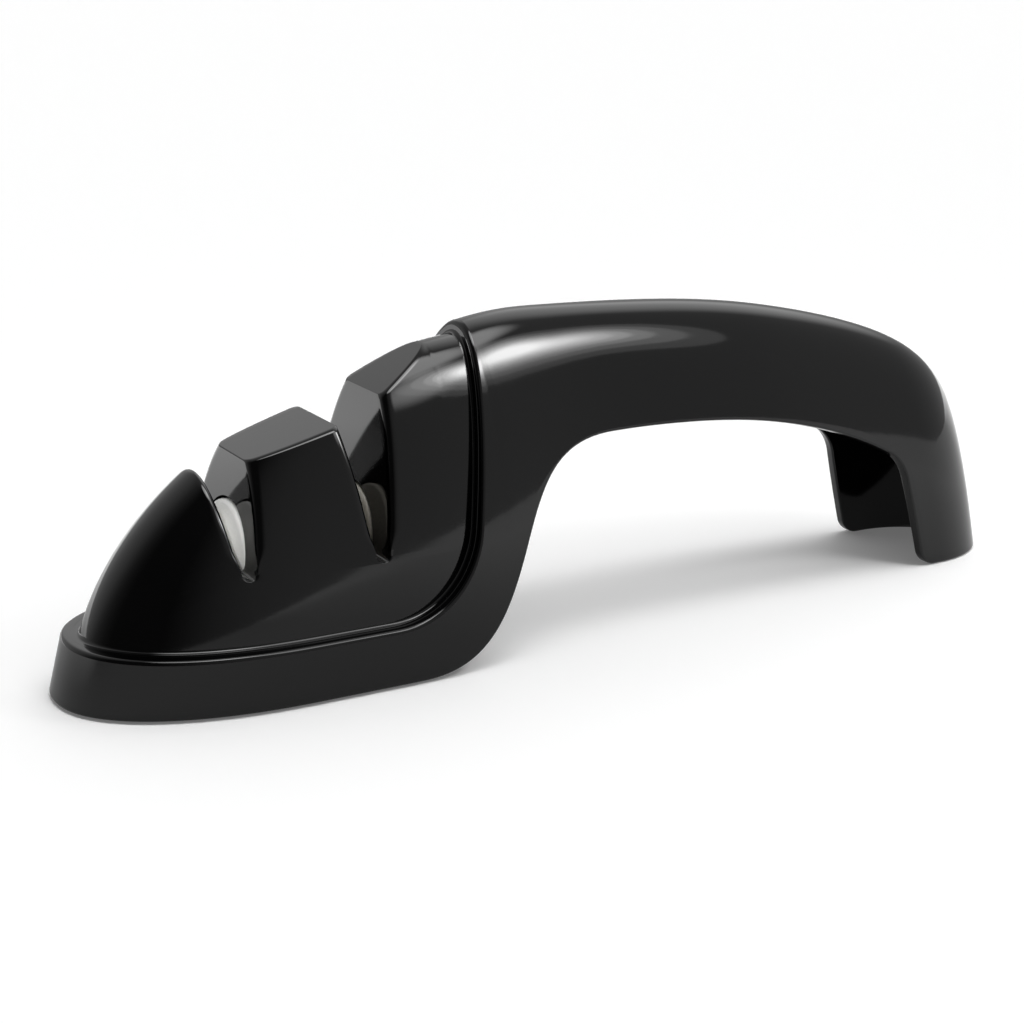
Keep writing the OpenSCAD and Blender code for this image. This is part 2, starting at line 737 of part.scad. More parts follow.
// Frame on the plate with two uprights that hold the bushes
module carrier() {
    eye = axle_z - plate_top;
    translate([0, 0, plate_top]) difference() {
        union() {
            difference() {
                translate([-upright_out, -rail_out, 0]) cube([2 * upright_out, 2 * rail_out, rail_t]);
                translate([-upright_in, -rail_in, -1]) cube([2 * upright_in, 2 * rail_in, rail_t + 2]);
            }
            for (x = [-upright_out, upright_in]) spanning(x, x + upright_t) {
                polygon([
                    [-rail_in, rail_t / 2], [-rail_in, rail_t], [-eye_r, eye], [eye_r, eye],
                    [rail_in, rail_t], [rail_in, rail_t / 2]]);
                translate([0, eye]) circle(eye_r);
            }
            for (s = [-1, 1]) translate([s * lug_x, -s * lug_y, 0]) {
                cylinder(r = lug_r, h = lug_t);
                translate([s > 0 ? -lug_reach - bite : 0, -lug_r, 0])
                    cube([lug_reach + bite, 2 * lug_r, rail_t]);
            }
        }
        translate([-upright_out - 1, 0, eye]) rotate([0, 90, 0])
            cylinder(d = bush_d + 2 * slack, h = 2 * upright_out + 2);
        for (s = [-1, 1]) translate([s * lug_x, -s * lug_y, -1])
            cylinder(d = screw_d + 2 * slack, h = lug_t + 2);
    }
}

module front_carrier() { color(black) staged(front_slot_x) carrier(); }
module front_axle() { color(steel) staged(front_slot_x) axle(); }
module front_fore_wheel() { color(white_ceramic) staged(front_slot_x) wheel(-1); }
module front_aft_wheel() { color(white_ceramic) staged(front_slot_x) wheel(1); }
module front_shim() { color(steel) staged(front_slot_x) shim(); }
module front_washers() { color(steel) staged(front_slot_x) washers(); }
module front_bushes() { color(bronze) staged(front_slot_x) bushes(); }
module front_rings() { color(steel) staged(front_slot_x) retaining_rings(); }
module rear_carrier() { color(black) staged(rear_slot_x) carrier(); }
module rear_axle() { color(steel) staged(rear_slot_x) axle(); }
module rear_fore_wheel() { color(ivory_ceramic) staged(rear_slot_x) wheel(-1); }
module rear_aft_wheel() { color(ivory_ceramic) staged(rear_slot_x) wheel(1); }
module rear_shim() { color(steel) staged(rear_slot_x) shim(); }
module rear_washers() { color(steel) staged(rear_slot_x) washers(); }
module rear_bushes() { color(bronze) staged(rear_slot_x) bushes(); }
module rear_rings() { color(steel) staged(rear_slot_x) retaining_rings(); }

housing();
head_cap();
base_plate();
grip_pad();
head_screws();
carrier_screws();
front_carrier();
front_axle();
front_fore_wheel();
front_aft_wheel();
front_shim();
front_washers();
front_bushes();
front_rings();
rear_carrier();
rear_axle();
rear_fore_wheel();
rear_aft_wheel();
rear_shim();
rear_washers();
rear_bushes();
rear_rings();
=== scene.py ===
import math

import bmesh
import bpy
import numpy as np
from mathutils import Matrix, Vector


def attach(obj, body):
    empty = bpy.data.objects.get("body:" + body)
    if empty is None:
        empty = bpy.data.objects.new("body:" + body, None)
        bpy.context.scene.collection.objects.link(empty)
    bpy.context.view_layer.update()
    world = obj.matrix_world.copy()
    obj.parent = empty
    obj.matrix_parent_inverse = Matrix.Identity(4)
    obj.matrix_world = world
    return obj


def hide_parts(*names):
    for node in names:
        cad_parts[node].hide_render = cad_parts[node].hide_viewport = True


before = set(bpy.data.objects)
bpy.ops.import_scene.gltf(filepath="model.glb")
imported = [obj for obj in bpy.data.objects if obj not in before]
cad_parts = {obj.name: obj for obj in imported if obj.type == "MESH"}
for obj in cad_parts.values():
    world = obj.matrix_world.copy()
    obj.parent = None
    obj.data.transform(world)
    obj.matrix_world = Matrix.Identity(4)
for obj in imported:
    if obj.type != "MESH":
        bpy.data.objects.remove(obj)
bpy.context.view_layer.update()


# Housing: the base rim, the collar, the arched handle and the leg in one gloss black moulding, which
# holds all other pieces. Its even wall follows one hull: a crest line in side view, a plan outline,
# and an arch between them. Sizes are in millimetres from the nose.
length, height = 216.0, 65.0
crest_front, crest_rear, crest_power = 97.0, 74.0, 6.0
base_half, grip_half, leg_half = 24.1, 16.2, 15.0
nose_length, nose_power, leg_round = 43.0, 2.2, 18.5
narrow_from, narrow_to, leg_from, leg_to = 58.0, 128.0, length - 66, length - 10
base_power, grip_fuller = 2, 0.35
lean, lean_from, lean_to = math.radians(12), length - 102, length - 11
wall, edge, lip = 2.6, 0.55, 0.75
rim_height, nose_rise, rise_to, nose_set, foot_gap = 11.3, 0.5, 25, 3.0, 0.4
collar_foot, collar_top, collar_radius = 75.5, 83.8, 19.0
collar_dip, dip_from, dip_run = 1.15, 101, 17


def smooth(start, end, x):
    t = np.clip((x - start) / (end - start), 0, 1)
    return t * t * t * (t * (6 * t - 15) + 10)


def arch(t, power):
    return np.maximum(0, 1 - np.clip(t, 0, 1) ** power) ** (1 / power)


def crest(x):
    droop = np.clip((x - crest_rear) / (length - crest_rear), 0, 1)
    rise = height * arch((crest_front - x) / crest_front, 2)
    return rise * np.maximum(0, 1 - droop ** 2) ** (1 / crest_power)


def plan(x):
    half = base_half + (grip_half - base_half) * smooth(narrow_from, narrow_to, x)
    half = half + (leg_half - grip_half) * smooth(leg_from, leg_to, x)
    nose = arch((nose_length - x) / nose_length, nose_power)
    return half * nose * arch((x - (length - leg_round)) / leg_round, 2)


def fullness(x):
    return base_power + grip_fuller * smooth(collar_top, narrow_to, x)


def crown(x):
    """The crest with its slight dip towards the collar."""
    return crest(x) - collar_dip * np.clip((dip_from - x) / dip_run, 0, 1) ** 2


def hull_side(x, z):
    return plan(x) * arch(z / np.maximum(crown(x), 0.001), fullness(x))


def leaned(x, z):
    return x - math.tan(lean) * z * smooth(lean_from, lean_to, x)


def rim_top(x):
    return rim_height + nose_rise * max(0, 1 - x / rise_to) ** 2


def bezier(a, b, c, d, t):
    a, b, c, d = (np.array(p, float) for p in (a, b, c, d))
    return a * (1 - t) ** 3 + b * 3 * t * (1 - t) ** 2 + c * 3 * t * t * (1 - t) + d * t ** 3


def heading(angle, reach):
    return np.array([math.cos(math.radians(angle)), math.sin(math.radians(angle))]) * reach


collar_rise = crest(collar_top) - rim_height
collar_slope = math.degrees(math.atan2(collar_rise, collar_top - collar_foot))
collar_tangent = collar_radius * math.tan(math.radians(collar_slope / 2))
bend_from = collar_foot - collar_tangent
bend_to = np.array([collar_foot, rim_height]) + heading(collar_slope, collar_tangent)
rim_share = hull_side(bend_from, rim_height) / plan(bend_from)

base_point, neck_point = np.array([64.0, foot_gap]), np.array([89.6, 23.7])
arch_point, grip_point = np.array([112.0, 40.7]), np.array([188.0, 26.8])
leg_front, leg_corner = length - 24.6, 3.4
leg_top, leg_foot = np.array([leg_front, 19.8]), np.array([leg_front + 0.9, leg_corner])
shoulder_x = leg_front - 3
shoulder_w = (1 - ((shoulder_x - crest_rear) / (length - crest_rear)) ** 2) ** (1 / crest_power)
leg_w, foot_w = 0.55, 0.06

# How far the underside's curve reaches straight on, before and after each of its points
after_base, before_neck, after_neck = np.array([15.5, 0]), heading(67, 15), heading(67, 12)
before_arch, after_arch = np.array([13, 0]), np.array([26, 0])
before_grip, after_grip, above_leg = heading(-31, 22), heading(-31, 1.5), np.array([0, 4])
base_share = 0.12


def neck_mark(q):
    if q < base_share:
        return np.array([bend_from + (base_point[0] - bend_from) * q / base_share, foot_gap])
    t = (q - base_share) / (1 - base_share)
    return bezier(base_point, base_point + after_base, neck_point - before_neck, neck_point, t)


def back_mark(w):
    return np.array([crest_rear + (length - crest_rear) * math.sqrt(1 - w ** crest_power), height * w])


def foot_mark(z):
    dip = min(1, max(0, 1 - z / leg_corner))
    return leg_foot + [leg_corner * (1 - math.sqrt(1 - dip * dip)), -leg_corner * dip]


# Each station is (kind, top corner, start of the outer skin, foot of the skin, inset of both skins)
rim_n, bend_n, collar_n, arch_n, grip_n = 44, 16, 24, 20, 40
shoulder_n, leg_n, foot_n, sole_n = 24, 10, 8, 4
stations = []
for i in range(rim_n + 1):
    k = 1 - math.cos(math.pi / 2 * i / rim_n)
    x = nose_set + (bend_from - nose_set) * k
    top = np.array([x, rim_top(x)])
    foot = np.array([bend_from * k, foot_gap])
    stations.append(("rim", top, top + (foot - top) * lip / np.linalg.norm(foot - top), foot, 0))
for i in range(1, bend_n + 1):
    a = collar_slope * i / bend_n
    top = np.array([bend_from, rim_height + collar_radius]) + heading(a - 90, collar_radius)
    stations.append(("open", top, top + heading(a - 90, lip), neck_mark(i / (bend_n + collar_n)), 0))
collar_head = np.array([collar_top, crown(collar_top)])
for i in range(1, collar_n + 1):
    top = bend_to + (collar_head - bend_to) * math.sin(math.pi / 2 * i / collar_n)
    start = top + heading(collar_slope - 90, lip)
    if i == collar_n:
        start = np.array([collar_top + lip, crown(collar_top + lip)])
    stations.append(("open", top, start, neck_mark((bend_n + i) / (bend_n + collar_n)), 0))
mouth = len(stations) - 1
for i in range(1, arch_n + 1):
    x = collar_top + lip + (arch_point[0] - collar_top - lip) * i / arch_n
    foot = bezier(neck_point, neck_point + after_neck, arch_point - before_arch, arch_point, i / arch_n)
    stations.append(("shut", None, np.array([x, crown(x)]), foot, 0))
for i in range(1, grip_n + 1):
    x = arch_point[0] + (shoulder_x - arch_point[0]) * i / grip_n
    foot = bezier(arch_point, arch_point + after_arch, grip_point - before_grip, grip_point, i / grip_n)
    stations.append(("shut", None, np.array([x, crown(x)]), foot, 0))
for i in range(1, shoulder_n + 1):
    foot = bezier(grip_point, grip_point + after_grip, leg_top + above_leg, leg_top, i / shoulder_n)
    back = back_mark(shoulder_w + (leg_w - shoulder_w) * i / shoulder_n)
    stations.append(("shut", None, back, foot, 0))
for i in range(1, leg_n + 1):
    foot = leg_top + (leg_foot - leg_top) * i / leg_n
    stations.append(("shut", None, back_mark(leg_w + (foot_w - leg_w) * i / leg_n), foot, 0))
for i in range(1, foot_n + 1):
    z = leg_corner + (edge - leg_corner) * math.sin(math.pi / 2 * i / foot_n)
    back = back_mark(foot_w + (edge / height - foot_w) * i / foot_n)
    stations.append(("shut", None, back, foot_mark(z), 0))
for i in range(1, sole_n + 1):
    a = math.pi / 2 * i / sole_n
    z = edge * (1 - math.sin(a))
    stations.append(("shut", None, back_mark(z / height), foot_mark(z), edge * (1 - math.cos(a))))
last = len(stations) - 1

rows, turns = 24, 3


def skin_point(i, t):
    kind, top, start, foot, _ = stations[i]
    p = start + (foot - start) * t
    if kind == "rim":
        share = (top[1] - p[1]) / (top[1] - foot[1])
        y = plan(foot[0]) * (rim_share + (1 - rim_share) * share)
    else:
        y = hull_side(p[0], p[1])
    if i == 0 or (i >= mouth and t == 0):
        y = 0
    return np.array([leaned(p[0], p[1]), y, p[1]])


def skin_cut(i):
    return edge / np.linalg.norm(stations[i][3] - stations[i][2])


skin = np.array([[skin_point(i, (1 - skin_cut(i)) * (1 - math.cos(math.pi / 2 * j / rows)))
                  for j in range(rows + 1)] for i in range(last + 1)])
flip = np.array([1, -1, 1])
probe = 0.01


def steepest(level, p):
    """Way that a level grows fastest at a point, from small steps along each axis."""
    n = np.array([level(p + step) - level(p - step) for step in np.eye(3) * probe])
    return n / np.linalg.norm(n)


def hull_level(p):
    power = fullness(p[0])
    return (abs(p[1]) / plan(p[0])) ** power + (p[2] / crown(p[0])) ** power


def skin_normal(i, j):
    if rim_n + bend_n < i <= mouth:
        return steepest(hull_level, skin[i][j])
    before = i if i == mouth and j == 0 else max(i - 1, 0)
    along = skin[min(i + 1, last)][j] - skin[before][j]
    if i >= mouth and j == 0:
        down = skin[i][1] - skin[i][1] * flip
    else:
        down = skin[i][min(j + 1, rows)] - skin[i][max(j - 1, 0)]
    n = np.cross(along, down)
    if i <= rim_n or i > last - sole_n - 1:
        n[2] = 0
    if i == 0 or (i >= mouth and j == 0):
        n[1] = 0
    return n / np.linalg.norm(n)


def ledge_normal(i):
    """Way that the ledge inside the housing's open edge faces: up on the rim, forward on the collar."""
    angle = math.radians(max(0, min(1, (i - rim_n) / bend_n)) * collar_slope)
    return np.array([-math.sin(angle), 0, math.cos(angle)])


def wall_ring(i):
    kind, top, _, foot, inset = stations[i]
    normals = [skin_normal(i, j) for j in range(rows + 1)]
    cut = skin_cut(i)

    def sunk(p, n, depth):
        return p - n * (inset + depth * (wall - 2 * inset) / wall)

    ring = [sunk(skin[i][j], normals[j], 0) for j in range(rows + 1)]
    for s in range(1, turns + 1):
        a = math.pi / 2 * s / turns
        p = skin_point(i, 1 - cut * (1 - math.sin(a)))
        ring.append(sunk(p, normals[-1], edge * (1 - math.cos(a))))
    for s in range(turns):
        a = math.pi / 2 * s / turns
        p = skin_point(i, 1 - cut * (1 - math.cos(a)))
        ring.append(sunk(p, normals[-1], wall - edge * (1 - math.sin(a))))
    ring += [sunk(skin[i][j], normals[j], wall) for j in range(rows, -1, -1)]
    if i <= mouth:
        y = plan(foot[0]) * rim_share if kind == "rim" else hull_side(top[0], top[1])
        corner = np.array([leaned(top[0], top[1]), 0 if i in (0, mouth) else y, top[1]])
        n, faces_head = normals[0], ledge_normal(i)
        inward = n - faces_head * (n @ faces_head)
        inward = inward / np.linalg.norm(inward)
        inner = skin[i][0] - n * wall, corner - inward * wall, corner - inward * (wall - edge)
        outer = corner - inward * lip, corner, skin[i][0]
        for (near, mid, far), span in ((inner, range(1, turns + 1)), (outer, range(turns))):
            for s in span:
                t = s / turns
                ring.append(near * (1 - t) ** 2 + mid * 2 * t * (1 - t) + far * t * t)
    return ring


def mesh_piece(name, points, faces):
    """A piece from points in millimetres counted from the nose."""
    weld, sliver = 2e-6, 1e-6
    data = bpy.data.meshes.new(name)
    placed = [((p[0] - length / 2) / 1000, p[1] / 1000, p[2] / 1000) for p in points]
    data.from_pydata(placed, [], faces)
    piece = bpy.data.objects.new(name, data)
    bpy.context.scene.collection.objects.link(piece)
    shape = bmesh.new()
    shape.from_mesh(data)
    bmesh.ops.remove_doubles(shape, verts=shape.verts, dist=weld)
    bmesh.ops.dissolve_degenerate(shape, edges=shape.edges, dist=sliver)
    bmesh.ops.recalc_face_normals(shape, faces=shape.faces)
    for face in shape.faces:
        face.smooth = True
    shape.to_mesh(data)
    shape.free()
    return piece


def round_edges(piece, width, segments=2, clamp=True, limit="ANGLE"):
    bevel = piece.modifiers.new("rounded edges", "BEVEL")
    bevel.width = width / 1000
    bevel.segments = segments
    bevel.limit_method = limit
    bevel.angle_limit = math.radians(40)
    bevel.miter_outer = "MITER_ARC"
    bevel.use_clamp_overlap = clamp


def even_shading(piece):
    weighted = piece.modifiers.new("even shading", "WEIGHTED_NORMAL")
    weighted.mode = "FACE_AREA"
    weighted.weight = 80
    weighted.keep_sharp = True


points, faces = [], []
ring_at = []
for i in range(last + 1):
    ring_at.append(len(points))
    points += wall_ring(i)
half = len(points)
points += [p * flip for p in points]
chain = 2 * (rows + 1) + 2 * turns
loop = chain + 2 * turns
for mirrored in (0, half):
    for i in range(last):
        a, b = ring_at[i] + mirrored, ring_at[i + 1] + mirrored
        around = loop if i < mouth else chain - 1
        for k in range(around):
            nxt = (k + 1) % loop
            faces.append((a + k, a + nxt, b + nxt, b + k))
    a = ring_at[last] + mirrored
    for k in range(chain // 2 - 1):
        faces.append((a + k, a + k + 1, a + chain - 2 - k, a + chain - 1 - k))
housing = mesh_piece("housing_shell", points, faces)
even_shading(housing)


# Gloss black plastic, for the housing, its ribs, the head and the head's flange: a fine mould grain
# and faint hand marks change its gloss.
def node_group(name, inputs, outputs):
    group = bpy.data.node_groups.new(name, "ShaderNodeTree")
    for label, kind, value in inputs:
        socket = group.interface.new_socket(label, in_out="INPUT", socket_type=kind)
        if value is not None:
            socket.default_value = value
    for label, kind in outputs:
        group.interface.new_socket(label, in_out="OUTPUT", socket_type=kind)
    return group, group.nodes.new("NodeGroupInput"), group.nodes.new("NodeGroupOutput")


def feed(tree, value, slot):
    if isinstance(value, bpy.types.NodeSocket):
        tree.links.new(value, slot)
    else:
        slot.default_value = value


def math_node(tree, operation, a, b=None, c=None):
    node = tree.nodes.new("ShaderNodeMath")
    node.operation = operation
    for slot, value in zip(node.inputs, (a, b, c)):
        if value is not None:
            feed(tree, value, slot)
    return node.outputs[0]


def noise_node(tree, where, scale, detail=3.0, roughness=0.5):
    node = tree.nodes.new("ShaderNodeTexNoise")
    node.inputs["Detail"].default_value = detail
    node.inputs["Roughness"].default_value = roughness
    tree.links.new(where, node.inputs["Vector"])
    feed(tree, scale, node.inputs["Scale"])
    return node.outputs["Fac"]


def range_node(tree, value, low, high, to_low, to_high):
    node = tree.nodes.new("ShaderNodeMapRange")
    tree.links.new(value, node.inputs["Value"])
    ends = (("From Min", low), ("From Max", high), ("To Min", to_low), ("To Max", to_high))
    for label, number in ends:
        feed(tree, number, node.inputs[label])
    return node.outputs["Result"]


mould_grain, inp, out = node_group(
    "mould_grain",
    [("Grain per metre", "NodeSocketFloat", 2600.0), ("Smudge per metre", "NodeSocketFloat", 38.0),
     ("Smoothest", "NodeSocketFloat", 0.2), ("Roughest", "NodeSocketFloat", 0.3)],
    [("Height", "NodeSocketFloat"), ("Roughness", "NodeSocketFloat"), ("Marks", "NodeSocketFloat")])
where = mould_grain.nodes.new("ShaderNodeTexCoord").outputs["Object"]
fine = noise_node(mould_grain, where, inp.outputs["Grain per metre"], 2.0)
broad = noise_node(mould_grain, where, inp.outputs["Smudge per metre"], 4.0, 0.6)
marks = range_node(mould_grain, broad, 0.4, 0.65, 0.0, 1.0)
fine_share, marks_share = 0.35, 0.65
blend = math_node(mould_grain, "MULTIPLY_ADD", fine, fine_share,
                  math_node(mould_grain, "MULTIPLY", marks, marks_share))
rough = range_node(mould_grain, blend, 0.0, 1.0, inp.outputs["Smoothest"], inp.outputs["Roughest"])
mould_grain.links.new(fine, out.inputs["Height"])
mould_grain.links.new(rough, out.inputs["Roughness"])
mould_grain.links.new(marks, out.inputs["Marks"])


def new_material(name):
    material = bpy.data.materials.new(name)
    material.use_nodes = True
    tree = material.node_tree
    return material, tree, tree.nodes["Principled BSDF"]


def place_group(tree, group, **values):
    node = tree.nodes.new("ShaderNodeGroup")
    node.node_tree = group
    for label, value in values.items():
        node.inputs[label.replace("_", " ")].default_value = value
    return node.outputs


def two_tone(tree, shader, mask, first, second):
    mix = tree.nodes.new("ShaderNodeMix")
    mix.data_type = "RGBA"
    tree.links.new(mask, mix.inputs["Factor"])
    mix.inputs["A"].default_value = (*first, 1)
    mix.inputs["B"].default_value = (*second, 1)
    tree.links.new(mix.outputs["Result"], shader.inputs["Base Color"])


def add_bump(tree, shader, height_from, strength, depth):
    bump = tree.nodes.new("ShaderNodeBump")
    bump.inputs["Strength"].default_value = strength
    bump.inputs["Distance"].default_value = depth
    tree.links.new(height_from, bump.inputs["Height"])
    tree.links.new(bump.outputs["Normal"], shader.inputs["Normal"])


def moulded_plastic(name, dark, light, smoothest, roughest, grain, depth):
    material, tree, shader = new_material(name)
    skin_of = place_group(tree, mould_grain, Smoothest=smoothest, Roughest=roughest,
                          Grain_per_metre=grain)
    two_tone(tree, shader, skin_of["Marks"], dark, light)
    tree.links.new(skin_of["Roughness"], shader.inputs["Roughness"])
    add_bump(tree, shader, skin_of["Height"], 0.25, depth)
    shader.inputs["IOR"].default_value = 1.5
    return material


def finish(piece, material):
    for held in piece.material_slots:
        held.material = material
    if not piece.material_slots:
        piece.data.materials.append(material)


gloss_black = moulded_plastic(
    "gloss_black_moulding", dark=(0.0006, 0.0006, 0.0007), light=(0.001, 0.001, 0.0011),
    smoothest=0.05, roughest=0.1, grain=2600.0, depth=0.000004)
finish(housing, gloss_black)
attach(housing, "body")
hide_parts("housing")


# Ribs inside the housing, of its gloss black plastic and moulded in one with it: three arches that
# stiffen the handle, and the shelf in the base on which the head rests.
rib_at, rib_t, rib_depth, rib_sweep, rib_steps = (105.0, 119.0, 133.0), 1.6, 5, 42, 20
rib_bite, shelf_bite = 0.6, 1.2
shelf_top, shelf_under, shelf_reach, shelf_end = 7.4, 5.6, 2.4, 68
rim_marks, end_marks = 40, 4


def drawn_x(x, inset):
    return (x - length / 2) * length / (length - 2 * inset) + length / 2


def drawn_plan(x, inset):
    return np.maximum(0, plan(drawn_x(x, inset)) - inset)


def drawn_crest(x, inset):
    return np.maximum(0.01, crest(drawn_x(x, inset)) - inset)


def band(name, outer, inner):
    """A plate between two lines of paired points; each line is given at both of its faces."""
    n = len(outer[0])
    points = [p for line in (outer[0], inner[0], inner[1], outer[1]) for p in line]
    faces = []
    for i in range(n - 1):
        faces += [(a * n + i, a * n + i + 1, b * n + i + 1, b * n + i)
                  for a, b in ((0, 1), (1, 2), (2, 3), (3, 0))]
    faces += [(0, n, 2 * n, 3 * n), (n - 1, 2 * n - 1, 3 * n - 1, 4 * n - 1)]
    piece = mesh_piece(name, points, faces)
    round_edges(piece, 0.3)
    even_shading(piece)
    finish(piece, gloss_black)
    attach(piece, "body")


def signed_power(v, power):
    return math.copysign(abs(v) ** power, v)


def rib_line(x, inset, at):
    bent = 2 / float(fullness(x))
    angles = [math.radians(90 + rib_sweep * i / rib_steps) for i in range(-rib_steps, rib_steps + 1)]
    return [(at, drawn_plan(x, inset) * signed_power(math.cos(a), bent),
             drawn_crest(x, inset) * signed_power(math.sin(a), bent)) for a in angles]


for number, x in enumerate(rib_at, 1):
    outer, inner = ([rib_line(x, inset, at) for at in (x, x + rib_t)]
                    for inset in (wall - rib_bite, wall + rib_depth))
    band("handle_rib_%d" % number, outer, inner)


def drawn_in(line, inset):
    shifted = []
    for i, p in enumerate(line):
        way = np.array([0, 1.0]) if i == 0 else line[min(i + 1, len(line) - 1)] - line[i - 1]
        shifted.append(p + np.array([way[1], -way[0]]) * inset / np.linalg.norm(way))
    return shifted


def rim_line(z, inset, end):
    line = []
    for i in range(rim_marks + 1):
        k = 1 - math.cos(math.pi / 2 * i / rim_marks)
        x = nose_set + (bend_from - nose_set) * k
        t = (rim_top(x) - z) / (rim_top(x) - foot_gap)
        side = plan(bend_from * k) * (rim_share + (1 - rim_share) * t)
        line.append(np.array([x + (bend_from * k - x) * t, side]))
    line += [np.array([x, hull_side(x, z)]) for x in np.linspace(bend_from, end, end_marks)[1:]]
    half_line = drawn_in(line, inset)
    return [tuple(p) for p in half_line[::-1]] + [(p[0], -p[1]) for p in half_line[1:]]


shelf_lines = [rim_line(shelf_top, inset, shelf_end)
               for inset in (wall - shelf_bite, wall + shelf_reach)]
outer, inner = ([[(*p, z) for p in line] for z in (shelf_under, shelf_top)] for line in shelf_lines)
band("head_shelf", outer, inner)


# Head: a second gloss black moulding that drops into the rim and under the collar, held from below
# by four screws. Two knife slots cut it into three blocks; the rear two have flats on top.
head_inset, head_foot, head_tail = 3.4, 7.4, 5
front_slot, rear_slot = 32.8, 58.6
slot_floor, slot_centre, slot_radius, slot_slope = 23.2, 24.6, 1.4, math.radians(7.4)
slot_round, round_fade, side_share = 1.7, 5, 0.4
mid_z, mid_slope, rear_z, rear_slope = 43.0, math.radians(15.3), 52.3, math.radians(31.5)
axle_z, window_r, window_lip = 24.0, 10.6, (0, 0.8, 2.2)
low_rows, window_rows, top_rows, floor_turns = 8, 14, 16, (20, 40, 60, 74)
edge_steps, across, nose_columns, mid_columns, rear_columns = 7, 8, 48, 16, 48
shoulder, soft_from, soft_to, soft_run = 0.8, 0.8, 0.95, 0.15
settle_steps = 40


def head_plan(x):
    return drawn_plan(x, head_inset)


def head_crest(x):
    return drawn_crest(x, head_inset)


def nose_at(z):
    """Place on the head's nose where its crest has a height."""
    x = crest_front * (1 - math.sqrt(1 - ((z + head_inset) / height) ** 2))
    return (x - length / 2) * (length - 2 * head_inset) / length + length / 2


def slot_half(z):
    if z < slot_centre - slot_radius * math.sin(slot_slope):
        return math.sqrt(max(0, slot_radius ** 2 - (slot_centre - z) ** 2))
    return slot_radius / math.cos(slot_slope) + (z - slot_centre) * math.tan(slot_slope)


def mid_flat(x):
    return mid_z + (x - front_slot - slot_half(mid_z)) * math.tan(mid_slope)


def rear_flat(x):
    return rear_z + (x - rear_slot - slot_half(rear_z)) * math.tan(rear_slope)


def back_of_head(z):
    return collar_foot + head_tail + (z - rim_height) * (collar_top - collar_foot) / collar_rise


def top_angle(x, flat):
    return math.pi / 2 if flat is None else math.asin(min(1, flat(x) / head_crest(x)))


def slot_edge(centre, way, flat):
    """Points (x, z) down one edge of a slot, from the head's foot to the top of its block."""
    levels = list(np.linspace(head_foot, slot_floor, low_rows + 1))
    levels += [slot_centre - slot_radius * math.cos(math.radians(a)) for a in floor_turns]
    tangent = slot_centre - slot_radius * math.sin(slot_slope)
    levels.append(tangent)
    first = math.asin((tangent - axle_z) / window_r)
    levels += [axle_z + window_r * math.sin(first + (math.pi / 2 - first) * i / window_rows)
               for i in range(1, window_rows + 1)]
    x = centre
    for _ in range(settle_steps):
        z = head_crest(x) * math.sin(top_angle(x, flat))
        x = centre + way * slot_half(z)
    peak, top = head_crest(x), top_angle(x, flat)
    start = math.asin(levels[-1] / peak)
    levels += [peak * math.sin(start + (top - start) * i / top_rows) for i in range(1, top_rows + 1)]
    return [(centre + way * slot_half(z) if z > slot_floor else centre, float(z)) for z in levels]


head_points, head_faces = [], []


def add_grid(grid):
    start = len(head_points)
    for line in grid:
        head_points.extend(line)
    n = len(grid[0])
    for i in range(len(grid) - 1):
        for j in range(n - 1):
            a = start + i * n + j
            head_faces.append((a, a + 1, a + n + 1, a + n))


def add_half_wall(rim):
    """A level-rowed wall from a line of points to the middle of the head."""
    add_grid([[(x, y * (1 - m / across), z) for m in range(across + 1)] for x, y, z in rim])


def on_head(x, angle):
    return (float(x), float(head_plan(x) * math.cos(angle)), float(head_crest(x) * math.sin(angle)))


def edge_reach(z):
    """Rounding of a slot's edge, which fades out towards the slot's floor."""
    return slot_round * float(smooth(slot_centre, slot_centre + round_fade, z))


def row_levels(x, flat):
    """Angles of a block's slot floor, of its shoulder, four fifths of the way up, and of its top."""
    ratio = flat(x) / head_crest(x)
    if ratio > soft_from:
        ratio = soft_to - soft_run * math.exp((soft_from - ratio) / soft_run)
    floor_angle = math.asin(slot_floor / head_crest(x))
    return floor_angle, floor_angle + shoulder * (math.asin(ratio) - floor_angle), top_angle(x, flat)


def row_share(x, z, flat):
    angle = math.asin(min(1, z / head_crest(x)))
    return float(np.interp(angle, row_levels(x, flat), (0, shoulder, 1)))


def row_height(x, share, flat):
    return float(np.interp(share, (0, shoulder, 1), row_levels(x, flat)))


def block_point(k, share_across, left, right, flat):
    """Point of a block's skin between two slot edges; rows below the slot floor stay level."""
    x = left[k][0] + (right[k][0] - left[k][0]) * share_across
    if k <= low_rows:
        return on_head(x, math.asin(left[k][1] / head_crest(x)))
    first, final = row_share(*left[k], flat), row_share(*right[k], flat)
    share = 1.0 if k == len(left) - 1 else first + (final - first) * share_across
    return on_head(x, row_height(x, share, flat))


def turn_in(start, corner, centre, way, over_crown):
    """One row of a slot's rounded edge and wall, from the skin to the wheel's window."""
    x, y, z = corner
    reach = edge_reach(z)
    if over_crown:
        slope = np.array([y / head_plan(x) ** 2, z / head_crest(x) ** 2])
        y_end, z_end = np.array([y, z]) - slope / np.linalg.norm(slope) * min(reach, z - slot_floor)
        y_end = max(0.0, y_end)
    else:
        y_end, z_end = y - min(reach, side_share * y), z
    x_end = centre + way * slot_half(z_end) if z > slot_floor else centre
    inner = min(y_end, math.sqrt(max(0, window_r ** 2 - (z_end - axle_z) ** 2)))
    a, b, c = np.array(start), np.array(corner), np.array((x_end, y_end, z_end))
    line = [tuple(a * (1 - t) ** 2 + b * 2 * t * (1 - t) + c * t * t)
            for t in np.linspace(0, 1, edge_steps + 1)]
    return line + [(x_end, y_end + (inner - y_end) * m / across, z_end) for m in range(1, across + 1)]


